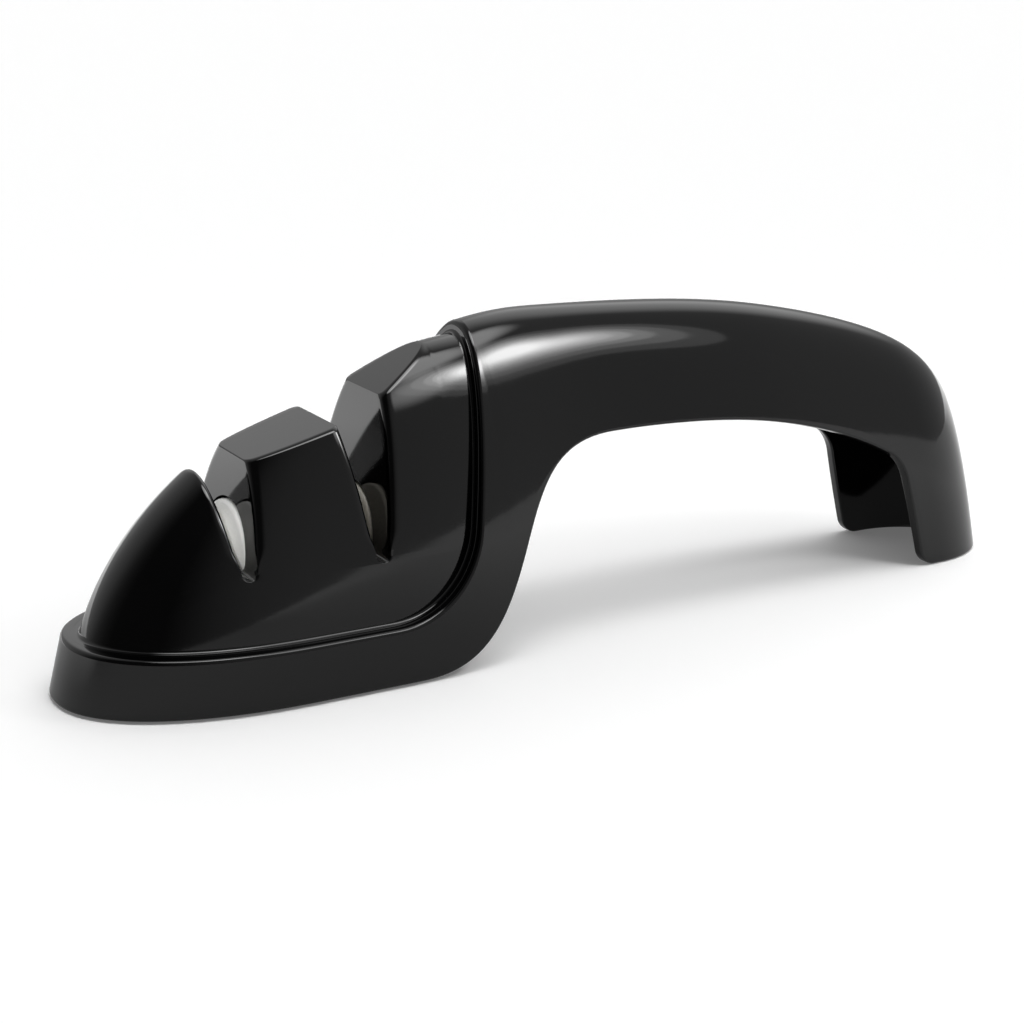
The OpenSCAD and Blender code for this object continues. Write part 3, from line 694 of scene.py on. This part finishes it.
def add_slot_side(side_rows, way):
    """The rounded edge and wall of a slot, and the short lip round the wheel's window."""
    add_grid(side_rows)
    brink = [line[-1] for line in side_rows if line[-1][1] > 0]
    brink += [line[-1] for line in side_rows if line[-1][1] <= 0][:1]
    add_grid([[(x + way * depth, y, z) for depth in window_lip] for x, y, z in brink])


def add_block(left, right, flat, columns, turn_left, turn_right):
    """A block's skin with the turned-in slot sides that it has, and the flat on its top."""
    skin_rows, left_rows, right_rows = [], [], []
    for k in range(len(left)):
        width = right[k][0] - left[k][0]
        first = edge_reach(left[k][1]) / width if turn_left else 0.0
        final = 1 - edge_reach(right[k][1]) / width if turn_right else 1.0
        row = [block_point(k, first + (final - first) * c / columns, left, right, flat)
               for c in range(columns + 1)]
        skin_rows.append(row)
        if k >= low_rows and turn_left:
            corner = block_point(k, 0, left, right, flat)
            left_rows.append(turn_in(row[0], corner, turn_left, 1, False))
        if k >= low_rows and turn_right:
            corner = block_point(k, 1, left, right, flat)
            right_rows.append(turn_in(row[-1], corner, turn_right, -1, False))
    add_grid(skin_rows)
    rim_of_flat = list(skin_rows[-1])
    if turn_left:
        add_slot_side(left_rows, 1)
        rim_of_flat = left_rows[-1][edge_steps:0:-1] + rim_of_flat
    if turn_right:
        add_slot_side(right_rows, -1)
        rim_of_flat = rim_of_flat + right_rows[-1][1:edge_steps + 1]
    add_half_wall(rim_of_flat)
    return skin_rows


nose_edge = slot_edge(front_slot, -1, None)
mid_front = slot_edge(front_slot, 1, mid_flat)
mid_back = slot_edge(rear_slot, -1, mid_flat)
rear_front = slot_edge(rear_slot, 1, rear_flat)

tip, tip_gap = nose_at(head_foot), 1e-6
nose_rows, nose_turn = [], []
for k, (x_edge, z_edge) in enumerate(nose_edge):
    low = math.asin(head_foot / head_crest(x_edge))
    share = (math.asin(min(1, z_edge / head_crest(x_edge))) - low) / (math.pi / 2 - low)

    def nose_point(x):
        low = math.asin(min(1, head_foot / head_crest(x)))
        return on_head(x, low + (math.pi / 2 - low) * share)

    end = x_edge - edge_reach(z_edge)
    nose_rows.append([nose_point(tip + tip_gap)] + [
        nose_point(tip + (end - tip) * (1 - math.cos(math.pi / 2 * c / nose_columns)))
        for c in range(1, nose_columns + 1)])
    if k >= low_rows:
        nose_turn.append(turn_in(nose_rows[-1][-1], nose_point(x_edge), front_slot, -1, True))
add_grid(nose_rows)
add_slot_side(nose_turn, -1)
add_block(mid_front, mid_back, mid_flat, mid_columns, front_slot, rear_slot)

rear_back = []
for k, (x_edge, z) in enumerate(rear_front):
    share = row_share(x_edge, z, rear_flat)
    for _ in range(settle_steps):
        x = back_of_head(z)
        if k > low_rows:
            z = head_crest(x) * math.sin(row_height(x, share, rear_flat))
    rear_back.append((x, z))
rear_rows = add_block(rear_front, rear_back, rear_flat, rear_columns, rear_slot, None)
add_half_wall([line[-1] for line in rear_rows])

half = len(head_points)
head_points += [(x, -y, z) for x, y, z in head_points]
head_faces += [tuple(half + v for v in reversed(face)) for face in head_faces]
head = mesh_piece("head_shell", head_points, head_faces)

# The outer ends of the slots' floors get rounded edges. Other sharp edges stay sharp, but the edges
# of the flats stay smooth in shading, so that they catch the light.
floor_bend, sharp_bend = math.radians(30), math.radians(35)
floor_from, floor_to, floor_side, below_flat = slot_floor - 0.1, slot_centre + 1, window_r + 1, 0.05
shape = bmesh.new()
shape.from_mesh(head.data)
rounding = shape.edges.layers.float.new("bevel_weight_edge")
for line in shape.edges:
    x, y, z = (line.verts[0].co + line.verts[1].co) / 2 * 1000 + Vector((length / 2, 0, 0))
    bend = line.calc_face_angle(0)
    flat = (mid_flat(x) if x < rear_slot else rear_flat(x)) if x > front_slot else height
    if bend > floor_bend and floor_from < z < floor_to and abs(y) > floor_side:
        line[rounding] = 1.0
    elif bend > sharp_bend and z < flat - below_flat:
        line.smooth = False
shape.to_mesh(head.data)
shape.free()
round_edges(head, 0.25, segments=4, clamp=False, limit="WEIGHT")
even_shading(head)
finish(head, gloss_black)
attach(head, "body")
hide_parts("head_cap")


# Flange: a small hollow fillet round the foot of the head, moulded with it, which lies on the
# housing's ledge and covers the joint from the nose up to the collar's top.
flange, flange_reach, flange_t = 0.7, 1.5, 0.12
flange_bite, flange_root, flange_sink = 0.04, 0.5, 0.03
foot_marks, bend_marks, rise_marks, fillet_steps, nose_step = 60, 24, 40, 8, 0.02


def head_side(x, z):
    return head_plan(x) * arch(z / head_crest(x), 2)


def head_level(p):
    return (p[1] / head_plan(p[0])) ** 2 + (p[2] / head_crest(p[0])) ** 2


ledge_line = []
front = tip
for _ in range(settle_steps):
    front = nose_at(rim_top(front))
for i in range(foot_marks + 1):
    x = front + (bend_from - front) * (1 - math.cos(math.pi / 2 * i / foot_marks))
    ledge_line.append((x, rim_top(x), 0.0))
for i in range(1, bend_marks + 1):
    a = collar_slope * i / bend_marks
    x, z = np.array([bend_from, rim_height + collar_radius]) + heading(a - 90, collar_radius)
    ledge_line.append((x, z, a))
low, high = 0.0, 1.0
for _ in range(settle_steps):
    share = (low + high) / 2
    x, z = bend_to + (collar_head - bend_to) * share
    low, high = (share, high) if z < head_crest(x) else (low, share)
for i in range(1, rise_marks + 1):
    x, z = bend_to + (collar_head - bend_to) * low * math.sin(math.pi / 2 * i / rise_marks)
    ledge_line.append((x, z, collar_slope))
points, faces = [], []
for i, (x, z, a) in enumerate(ledge_line):
    at_end = i in (0, len(ledge_line) - 1)
    at = np.array([x, 0 if at_end else float(head_side(x, z)), z])
    over = np.array([-math.sin(math.radians(a)), 0, math.cos(math.radians(a))])
    n = steepest(head_level, at + [nose_step if i == 0 else 0, 0, 0])
    if at_end:
        n[1] = 0
    out_way = n - over * (n @ over)
    out_way = out_way / np.linalg.norm(out_way)
    wall_way = over - n * (over @ n)
    wall_way = wall_way / np.linalg.norm(wall_way)
    seat = at - n * flange_bite + over * flange_t
    for t in np.linspace(0, 1, fillet_steps + 1):
        points.append(seat + wall_way * flange * (1 - t) ** 2 + out_way * flange * t * t)
    points += [seat + out_way * flange_reach, at + out_way * flange_reach - over * flange_sink,
               at - out_way * flange_root - over * flange_sink,
               seat - out_way * flange_root + wall_way * flange]
half, n = len(points), len(points) // len(ledge_line)
points += [p * flip for p in points]
for mirrored in (0, half):
    for i in range(len(ledge_line) - 1):
        for k in range(n):
            a, b = mirrored + i * n + k, mirrored + i * n + (k + 1) % n
            faces.append((a, b, b + n, a + n))
head_flange = mesh_piece("head_flange", points, faces)
head_flange.data.set_sharp_from_angle(angle=sharp_bend)
even_shading(head_flange)
finish(head_flange, gloss_black)
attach(head_flange, "body")


# Base plate: a satin black moulding that closes the base from below. Its ring bears against the
# rim's shelf, and screws through its posts clamp it to the head.
satin_black = moulded_plastic(
    "satin_black_moulding", dark=(0.006, 0.006, 0.0063), light=(0.009, 0.009, 0.0095),
    smoothest=0.42, roughest=0.55, grain=1500.0, depth=0.00004)
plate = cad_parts["base_plate"]
round_edges(plate, 0.25)
finish(plate, satin_black)


# Pad: a grooved sheet of black rubber, glued under the base plate. It grips the table while a knife
# is drawn.
rubber, tree, shader = new_material("pad_rubber")
skin_of = place_group(tree, mould_grain, Smoothest=0.7, Roughest=0.9,
                      Grain_per_metre=3800.0, Smudge_per_metre=70.0)
two_tone(tree, shader, skin_of["Marks"], (0.018, 0.018, 0.018), (0.03, 0.029, 0.028))
tree.links.new(skin_of["Roughness"], shader.inputs["Roughness"])
add_bump(tree, shader, skin_of["Height"], 0.5, 0.00006)
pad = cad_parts["grip_pad"]
round_edges(pad, 0.15)
finish(pad, rubber)


# Screws: zinc plated steel with cross recesses, driven from below through the base plate, four into
# the head and four into the carriers.
turned_lines, inp, out = node_group(
    "turned_lines",
    [("Across", "NodeSocketFloat", 0.0), ("Lines per metre", "NodeSocketFloat", 4000.0)],
    [("Height", "NodeSocketFloat"), ("Stain", "NodeSocketFloat")])
full_turn, ripple_share = 6.283, 0.3
where = turned_lines.nodes.new("ShaderNodeTexCoord").outputs["Object"]
pitch = math_node(turned_lines, "MULTIPLY", inp.outputs["Lines per metre"], full_turn)
phase = math_node(turned_lines, "MULTIPLY", inp.outputs["Across"], pitch)
ripple = math_node(turned_lines, "SINE", phase)
grit = noise_node(turned_lines, where, 900.0, 4.0)
turned = math_node(turned_lines, "MULTIPLY_ADD", ripple, ripple_share, grit)
stain = range_node(turned_lines, noise_node(turned_lines, where, 160.0, 3.0), 0.42, 0.62, 0.0, 1.0)
turned_lines.links.new(turned, out.inputs["Height"])
turned_lines.links.new(stain, out.inputs["Stain"])


def turned_metal(name, bright, dull, smoothest, roughest, along_axle):
    material, tree, shader = new_material(name)
    split = tree.nodes.new("ShaderNodeSeparateXYZ")
    tree.links.new(tree.nodes.new("ShaderNodeTexCoord").outputs["Object"], split.inputs[0])
    marks = place_group(tree, turned_lines)
    tree.links.new(split.outputs["X" if along_axle else "Z"], marks["Height"].node.inputs["Across"])
    two_tone(tree, shader, marks["Stain"], bright, dull)
    rough = range_node(tree, marks["Stain"], 0.0, 1.0, smoothest, roughest)
    tree.links.new(rough, shader.inputs["Roughness"])
    shader.inputs["Metallic"].default_value = 1.0
    add_bump(tree, shader, marks["Height"], 0.25, 0.00002)
    return material


zinc = turned_metal("zinc_plate", bright=(0.62, 0.63, 0.65), dull=(0.5, 0.5, 0.5),
                    smoothest=0.24, roughest=0.4, along_axle=False)
for name in ("head_screws", "carrier_screws"):
    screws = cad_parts[name]
    round_edges(screws, 0.12)
    finish(screws, zinc)


# Carriers: satin black frames screwed to the base plate, each with two uprights that hold bronze
# bushes; the axle, washers and rings that turn in them are plain steel.
steel = turned_metal("turned_steel", bright=(0.66, 0.66, 0.67), dull=(0.52, 0.52, 0.52),
                     smoothest=0.2, roughest=0.36, along_axle=True)
bronze = turned_metal("bush_bronze", bright=(0.6, 0.42, 0.2), dull=(0.42, 0.28, 0.13),
                      smoothest=0.3, roughest=0.46, along_axle=True)
for stage in ("front", "rear"):
    for part, width, material, slot in (
            ("carrier", 0.25, satin_black, "chassis_black"), ("bushes", 0.1, bronze, "bronze"),
            ("axle", 0.08, steel, "steel"), ("shim", 0.06, steel, "steel"),
            ("washers", 0.06, steel, "steel"), ("rings", 0.08, steel, "steel")):
        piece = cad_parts["%s_%s" % (stage, part)]
        round_edges(piece, width)
        finish(piece, material)


# Sharpening wheels: pairs of conical ceramic wheels, pressed onto each axle so that they meet in a V,
# white and fine in front, ivory and coarse behind. They are fired, and their flanks are ground.
ground_grit, inp, out = node_group(
    "ground_grit",
    [("Grit per metre", "NodeSocketFloat", 3000.0), ("Lines per metre", "NodeSocketFloat", 1500.0)],
    [("Height", "NodeSocketFloat"), ("Speck", "NodeSocketFloat"), ("Dark ring", "NodeSocketFloat")])
where = ground_grit.nodes.new("ShaderNodeTexCoord").outputs["Object"]
split = ground_grit.nodes.new("ShaderNodeSeparateXYZ")
ground_grit.links.new(where, split.inputs[0])
line_share, dark_ring_from, dark_ring_to = 0.15, 0.0045, 0.0068
side, up = split.outputs["Y"], math_node(ground_grit, "SUBTRACT", split.outputs["Z"], axle_z / 1000)
radius = math_node(ground_grit, "SQRT", math_node(
    ground_grit, "MULTIPLY_ADD", up, up, math_node(ground_grit, "MULTIPLY", side, side)))
pitch = math_node(ground_grit, "MULTIPLY", inp.outputs["Lines per metre"], full_turn)
lines = math_node(ground_grit, "SINE", math_node(ground_grit, "MULTIPLY", radius, pitch))
specks = noise_node(ground_grit, where, inp.outputs["Grit per metre"], 2.0, 0.6)
ground = math_node(ground_grit, "MULTIPLY_ADD", lines, line_share, specks)
ground_grit.links.new(ground, out.inputs["Height"])
ground_grit.links.new(range_node(ground_grit, specks, 0.42, 0.6, 0.0, 1.0), out.inputs["Speck"])
# A ring darker towards the notch where the two wheels meet: full at 4.5 mm from the axle, gone at 6.8
# mm.
ground_grit.links.new(range_node(ground_grit, radius, dark_ring_from, dark_ring_to, 1.0, 0.0), out.inputs["Dark ring"])


def fired_ceramic(name, pale, dark, grit, roughness):
    speck_share, dark_ring_share, speck_rough = 0.45, 0.7, 0.15
    material, tree, shader = new_material(name)
    grain = place_group(tree, ground_grit, Grit_per_metre=grit)
    # The pale tone darkens with the specks and with the ring round the notch.
    mask = math_node(tree, "MAXIMUM", math_node(tree, "MULTIPLY", grain["Speck"], speck_share),
                     math_node(tree, "MULTIPLY", grain["Dark ring"], dark_ring_share))
    two_tone(tree, shader, mask, pale, dark)
    rough = range_node(tree, grain["Speck"], 0.0, 1.0, roughness, roughness + speck_rough)
    tree.links.new(rough, shader.inputs["Roughness"])
    add_bump(tree, shader, grain["Height"], 0.35, 0.00004)
    return material


white_ceramic = fired_ceramic("white_ceramic", pale=(0.93, 0.93, 0.91), dark=(0.78, 0.78, 0.75),
                              grit=2800.0, roughness=0.22)
ivory_ceramic = fired_ceramic("ivory_ceramic", pale=(0.54, 0.51, 0.45), dark=(0.38, 0.36, 0.31),
                              grit=1900.0, roughness=0.42)

wheel_r, notch_r, bore_r, near_x, far_x = 10.0, 4.5, 2.05, 0.25, 4.25
rim_round, rim_turns, back_round, back_turns, wheel_steps = 0.8, 6, 0.4, 4, 120
flank_slope, flank_run, flank_marks = math.radians(16.5), wheel_r - 1.2 - notch_r, (0.15, 0.4, 0.7)
rim_x = near_x + (wheel_r - notch_r) * math.tan(flank_slope)


def corner_arc(a, p, b, r, n):
    a, p, b = (np.array(q, float) for q in (a, p, b))
    u, v = (a - p) / np.linalg.norm(a - p), (b - p) / np.linalg.norm(b - p)
    half_angle = math.acos(float(u @ v)) / 2
    centre = p + (u + v) / np.linalg.norm(u + v) * r / math.sin(half_angle)
    start, end = p + u * r / math.tan(half_angle) - centre, p + v * r / math.tan(half_angle) - centre
    sweep = math.pi - 2 * half_angle
    return [centre + (start * math.sin((1 - t) * sweep) + end * math.sin(t * sweep)) / math.sin(sweep)
            for t in (i / n for i in range(n + 1))]


bore, notch, rim, far = (bore_r, near_x), (notch_r, near_x), (wheel_r, rim_x), (wheel_r, far_x)
profile = [bore, notch]
profile += [(notch_r + flank_run * t, near_x + (rim_x - near_x) * flank_run * t / (wheel_r - notch_r))
            for t in flank_marks]
profile += [tuple(p) for p in corner_arc(notch, rim, far, rim_round, rim_turns)]
profile += [tuple(p) for p in corner_arc(rim, far, (bore_r, far_x), back_round, back_turns)]
profile += [(bore_r, far_x)]
n = len(profile)
for stage, centre, material, slot in (("front", front_slot, white_ceramic, "white_ceramic"),
                                      ("rear", rear_slot, ivory_ceramic, "ivory_ceramic")):
    for place, way in (("fore", -1), ("aft", 1)):
        points, faces = [], []
        for step in range(wheel_steps):
            a, here, there = 2 * math.pi * step / wheel_steps, step * n, (step + 1) % wheel_steps * n
            points += [(centre + way * x, r * math.sin(a), axle_z + r * math.cos(a))
                       for r, x in profile]
            faces += [(here + i, here + (i + 1) % n, there + (i + 1) % n, there + i) for i in range(n)]
        wheel = mesh_piece("%s_%s_grinding_wheel" % (stage, place), points, faces)
        even_shading(wheel)
        finish(wheel, material)
        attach(wheel, "%s_roller" % stage)
        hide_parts("%s_%s_wheel" % (stage, place))


# Floor: white studio paper that takes the object's shadow. In the gloss of the black pieces it shows a
# painted reflection:
# its tone is painted darker towards the nose for all but camera rays, and a painted glow that only
# gloss rays see brightens it behind the object.
floor_half, floor_z, paper_tone, glow_level = 6, -0.0001, 0.94, 0.12
floor_mesh = bpy.data.meshes.new("floor")
corners = [(x * floor_half, y * floor_half, floor_z) for x, y in ((-1, -1), (1, -1), (1, 1), (-1, 1))]
floor_mesh.from_pydata(corners, [], [(0, 1, 2, 3)])
floor = bpy.data.objects.new("floor", floor_mesh)
bpy.context.scene.collection.objects.link(floor)
paper, tree, shader = new_material("white_paper")
shader.inputs["Roughness"].default_value = 0.9
shader.inputs["Specular IOR Level"].default_value = 0.0
rays = tree.nodes.new("ShaderNodeLightPath").outputs
direct, mirrored = rays["Is Camera Ray"], rays["Is Glossy Ray"]
spot = tree.nodes.new("ShaderNodeSeparateXYZ")
tree.links.new(tree.nodes.new("ShaderNodeTexCoord").outputs["Object"], spot.inputs[0])
# Painted reflection: for all but camera rays the paper's tone is painted from 0.42 at the nose's end to
# 0.86 towards the leg, which also darkens the light it throws back.
painted_reflection_tone = range_node(tree, spot.outputs["X"], -0.02, 0.22, 0.42, 0.86)
tone = math_node(tree, "ADD", math_node(tree, "MULTIPLY", direct, paper_tone), math_node(
    tree, "MULTIPLY", math_node(tree, "SUBTRACT", 1.0, direct), painted_reflection_tone))
tree.links.new(tone, shader.inputs["Base Color"])
seen = math_node(tree, "MAXIMUM", direct,
                 math_node(tree, "MAXIMUM", mirrored, rays["Is Transmission Ray"]))
glow = tree.nodes.new("ShaderNodeEmission")
# Painted glow, seen only by gloss rays, rising behind the object.
behind = math_node(tree, "MULTIPLY", mirrored, range_node(tree, spot.outputs["Y"], 0.03, 0.3, 0.0, 1.0))
tree.links.new(math_node(tree, "MULTIPLY_ADD", seen, glow_level, behind), glow.inputs["Strength"])
both = tree.nodes.new("ShaderNodeAddShader")
tree.links.new(shader.outputs[0], both.inputs[0])
tree.links.new(glow.outputs[0], both.inputs[1])
tree.links.new(both.outputs[0], tree.nodes["Material Output"].inputs["Surface"])
floor_mesh.materials.append(paper)


# Studio: a grey surround that is dark behind and left of the camera, with soft lights high on the
# right in front, over the object, and behind it on the right.
world = bpy.data.worlds.new("studio")
bpy.context.scene.world = world
world.use_nodes = True
tree = world.node_tree
looking = tree.nodes.new("ShaderNodeTexCoord").outputs["Generated"]


def vector_node(operation, a, b=None):
    node = tree.nodes.new("ShaderNodeVectorMath")
    node.operation = operation
    tree.links.new(a, node.inputs[0])
    if b is not None:
        node.inputs[1].default_value = b
    return node.outputs["Value" if operation == "DOT_PRODUCT" else "Vector"]


def compass(azimuth, elevation):
    a, e = math.radians(azimuth), math.radians(elevation)
    return (math.cos(e) * math.cos(a), math.cos(e) * math.sin(a), math.sin(e))


level_way = vector_node("NORMALIZE", vector_node("MULTIPLY", looking, (1, 1, 0)))
dark_azimuth, palest, darkest = -154, 0.45, 0.04
turned_to = vector_node("DOT_PRODUCT", level_way, compass(dark_azimuth, 0))
toward_dark = range_node(tree, turned_to, -1.0, 1.0, 0.0, 1.0)
surround = tree.nodes.new("ShaderNodeValToRGB")
stops = surround.color_ramp.elements
for share, grey in ((0.12, 0.42), (0.34, 0.42), (0.46, 0.39), (0.6, 0.35),
                    (0.72, 0.29), (0.83, 0.19), (0.91, 0.09), (0.96, 0.04)):
    stops.new(share).color = (grey, grey, grey, 1)
stops[0].color, stops[-1].color = (palest, palest, palest, 1), (darkest, darkest, darkest, 1)
tree.links.new(toward_dark, surround.inputs["Fac"])
light_level = surround.outputs["Color"]


def soft_light(level, azimuth, elevation, inner, outer, strength):
    """Adds a round soft light seen in that direction, with its full and its faded half angle."""
    spread = tree.nodes.new("ShaderNodeMapRange")
    spread.interpolation_type = "SMOOTHSTEP"
    nearness = vector_node("DOT_PRODUCT", looking, compass(azimuth, elevation))
    tree.links.new(nearness, spread.inputs["Value"])
    spread.inputs["From Min"].default_value = math.cos(math.radians(outer))
    spread.inputs["From Max"].default_value = math.cos(math.radians(inner))
    spread.inputs["To Max"].default_value = strength
    return math_node(tree, "ADD", level, spread.outputs["Result"])


for azimuth, elevation, inner, outer, strength in (
        (-57, 52, 0, 13, 3.0), (-40, 74, 8, 16, 3.8), (-90, 88, 8, 15, 5.5),
        (38, 44, 8, 30, 1.3), (72, 28, 8, 24, 0.35), (115, 20, 15, 45, 0.15)):
    light_level = soft_light(light_level, azimuth, elevation, inner, outer, strength)
background = tree.nodes["Background"]
background.inputs["Color"].default_value = (1, 1, 1, 1)
seen = tree.nodes.new("ShaderNodeLightPath").outputs["Is Camera Ray"]
tree.links.new(math_node(tree, "MAXIMUM", light_level, seen), background.inputs["Strength"])


# Key light: a small oval lamp close to the handle's front end, brighter towards its middle. Its
# rings stand one behind another and show only in the gloss; a plain lamp beside it casts the light.
key_at, key_aim = Vector((0.0467, -0.0766, 0.1488)), Vector((-0.017, -0.0088, 0.0582))
key_along, key_long, key_short, ring_step = Vector((-0.823, 0.013, 0.568)), 0.0229, 0.0107, 0.005
fill_at, fill_radius, fill_brightness = Vector((0.127, -0.139, 0.219)), 0.034, 9.0
lamps = [("fill", fill_at, fill_radius, fill_radius, fill_brightness, False)]
for ring, (scale, brightness) in enumerate((
        (0.62, 3.6), (0.8, 3.5), (0.98, 3.2), (1.15, 2.7), (1.38, 2.6),
        (1.65, 2.3), (2.0, 1.6), (2.5, 1.0), (3.1, 0.6)), 1):
    at = key_at + (key_at - key_aim) * ring_step * ring
    lamps.append(("key_%d" % ring, at, key_long * scale, key_short * scale, brightness, True))
for name, at, half_long, half_short, brightness, gloss_only in lamps:
    lamp = bpy.data.lights.new(name, "AREA")
    lamp.shape, lamp.size, lamp.size_y = "ELLIPSE", 2 * half_long, 2 * half_short
    lamp.energy = brightness * math.pi * math.pi * half_long * half_short
    key = bpy.data.objects.new(name, lamp)
    bpy.context.scene.collection.objects.link(key)
    key.visible_diffuse, key.visible_glossy = not gloss_only, gloss_only
    away = (at - key_aim).normalized()
    along = (key_along - away * key_along.dot(away)).normalized()
    turn = Matrix((along, away.cross(along), away)).transposed()
    key.matrix_world = Matrix.Translation(at) @ turn.to_4x4()


# Snoot: a narrow beam from beside the camera, which falls on the pale wheel in the front slot. It
# fades towards its edge, and the gloss of the black pieces doesn't show it.
beam_at, beam_aim = Vector((-0.222, -0.330, 0.150)), Vector((-0.0733, -0.0040, 0.0280))
lamp = bpy.data.lights.new("snoot", "SPOT")
lamp.spot_size, lamp.spot_blend = math.radians(2.5), 1.0
lamp.energy, lamp.shadow_soft_size = 7.4, 0.01
beam = bpy.data.objects.new("snoot", lamp)
bpy.context.scene.collection.objects.link(beam)
beam.visible_glossy = False
beam_turn = (beam_at - beam_aim).to_track_quat("Z", "Y").to_matrix().to_4x4()
beam.matrix_world = Matrix.Translation(beam_at) @ beam_turn


# Camera: the viewing angle of the photograph, from the near side and a little to the nose's end,
# with a long lens.
camera = bpy.data.objects.new("camera", bpy.data.cameras.new("camera"))
bpy.context.scene.collection.objects.link(camera)
camera.data.lens, camera.data.sensor_width, camera.data.sensor_fit = 71.47, 36.0, "HORIZONTAL"
camera.data.clip_start = 0.01
camera_at = Vector((-0.2050, -0.3431, 0.1406))
right, upward = Vector((0.8712, -0.4909, 0)), Vector((0.1408, 0.2499, 0.9580))
back = Vector((-0.4703, -0.8346, 0.2869))
turn = Matrix((right, upward, back)).transposed()
camera.matrix_world = Matrix.Translation(camera_at) @ turn.to_4x4()
bpy.context.scene.camera = camera
bpy.context.scene.view_settings.view_transform = "Standard"
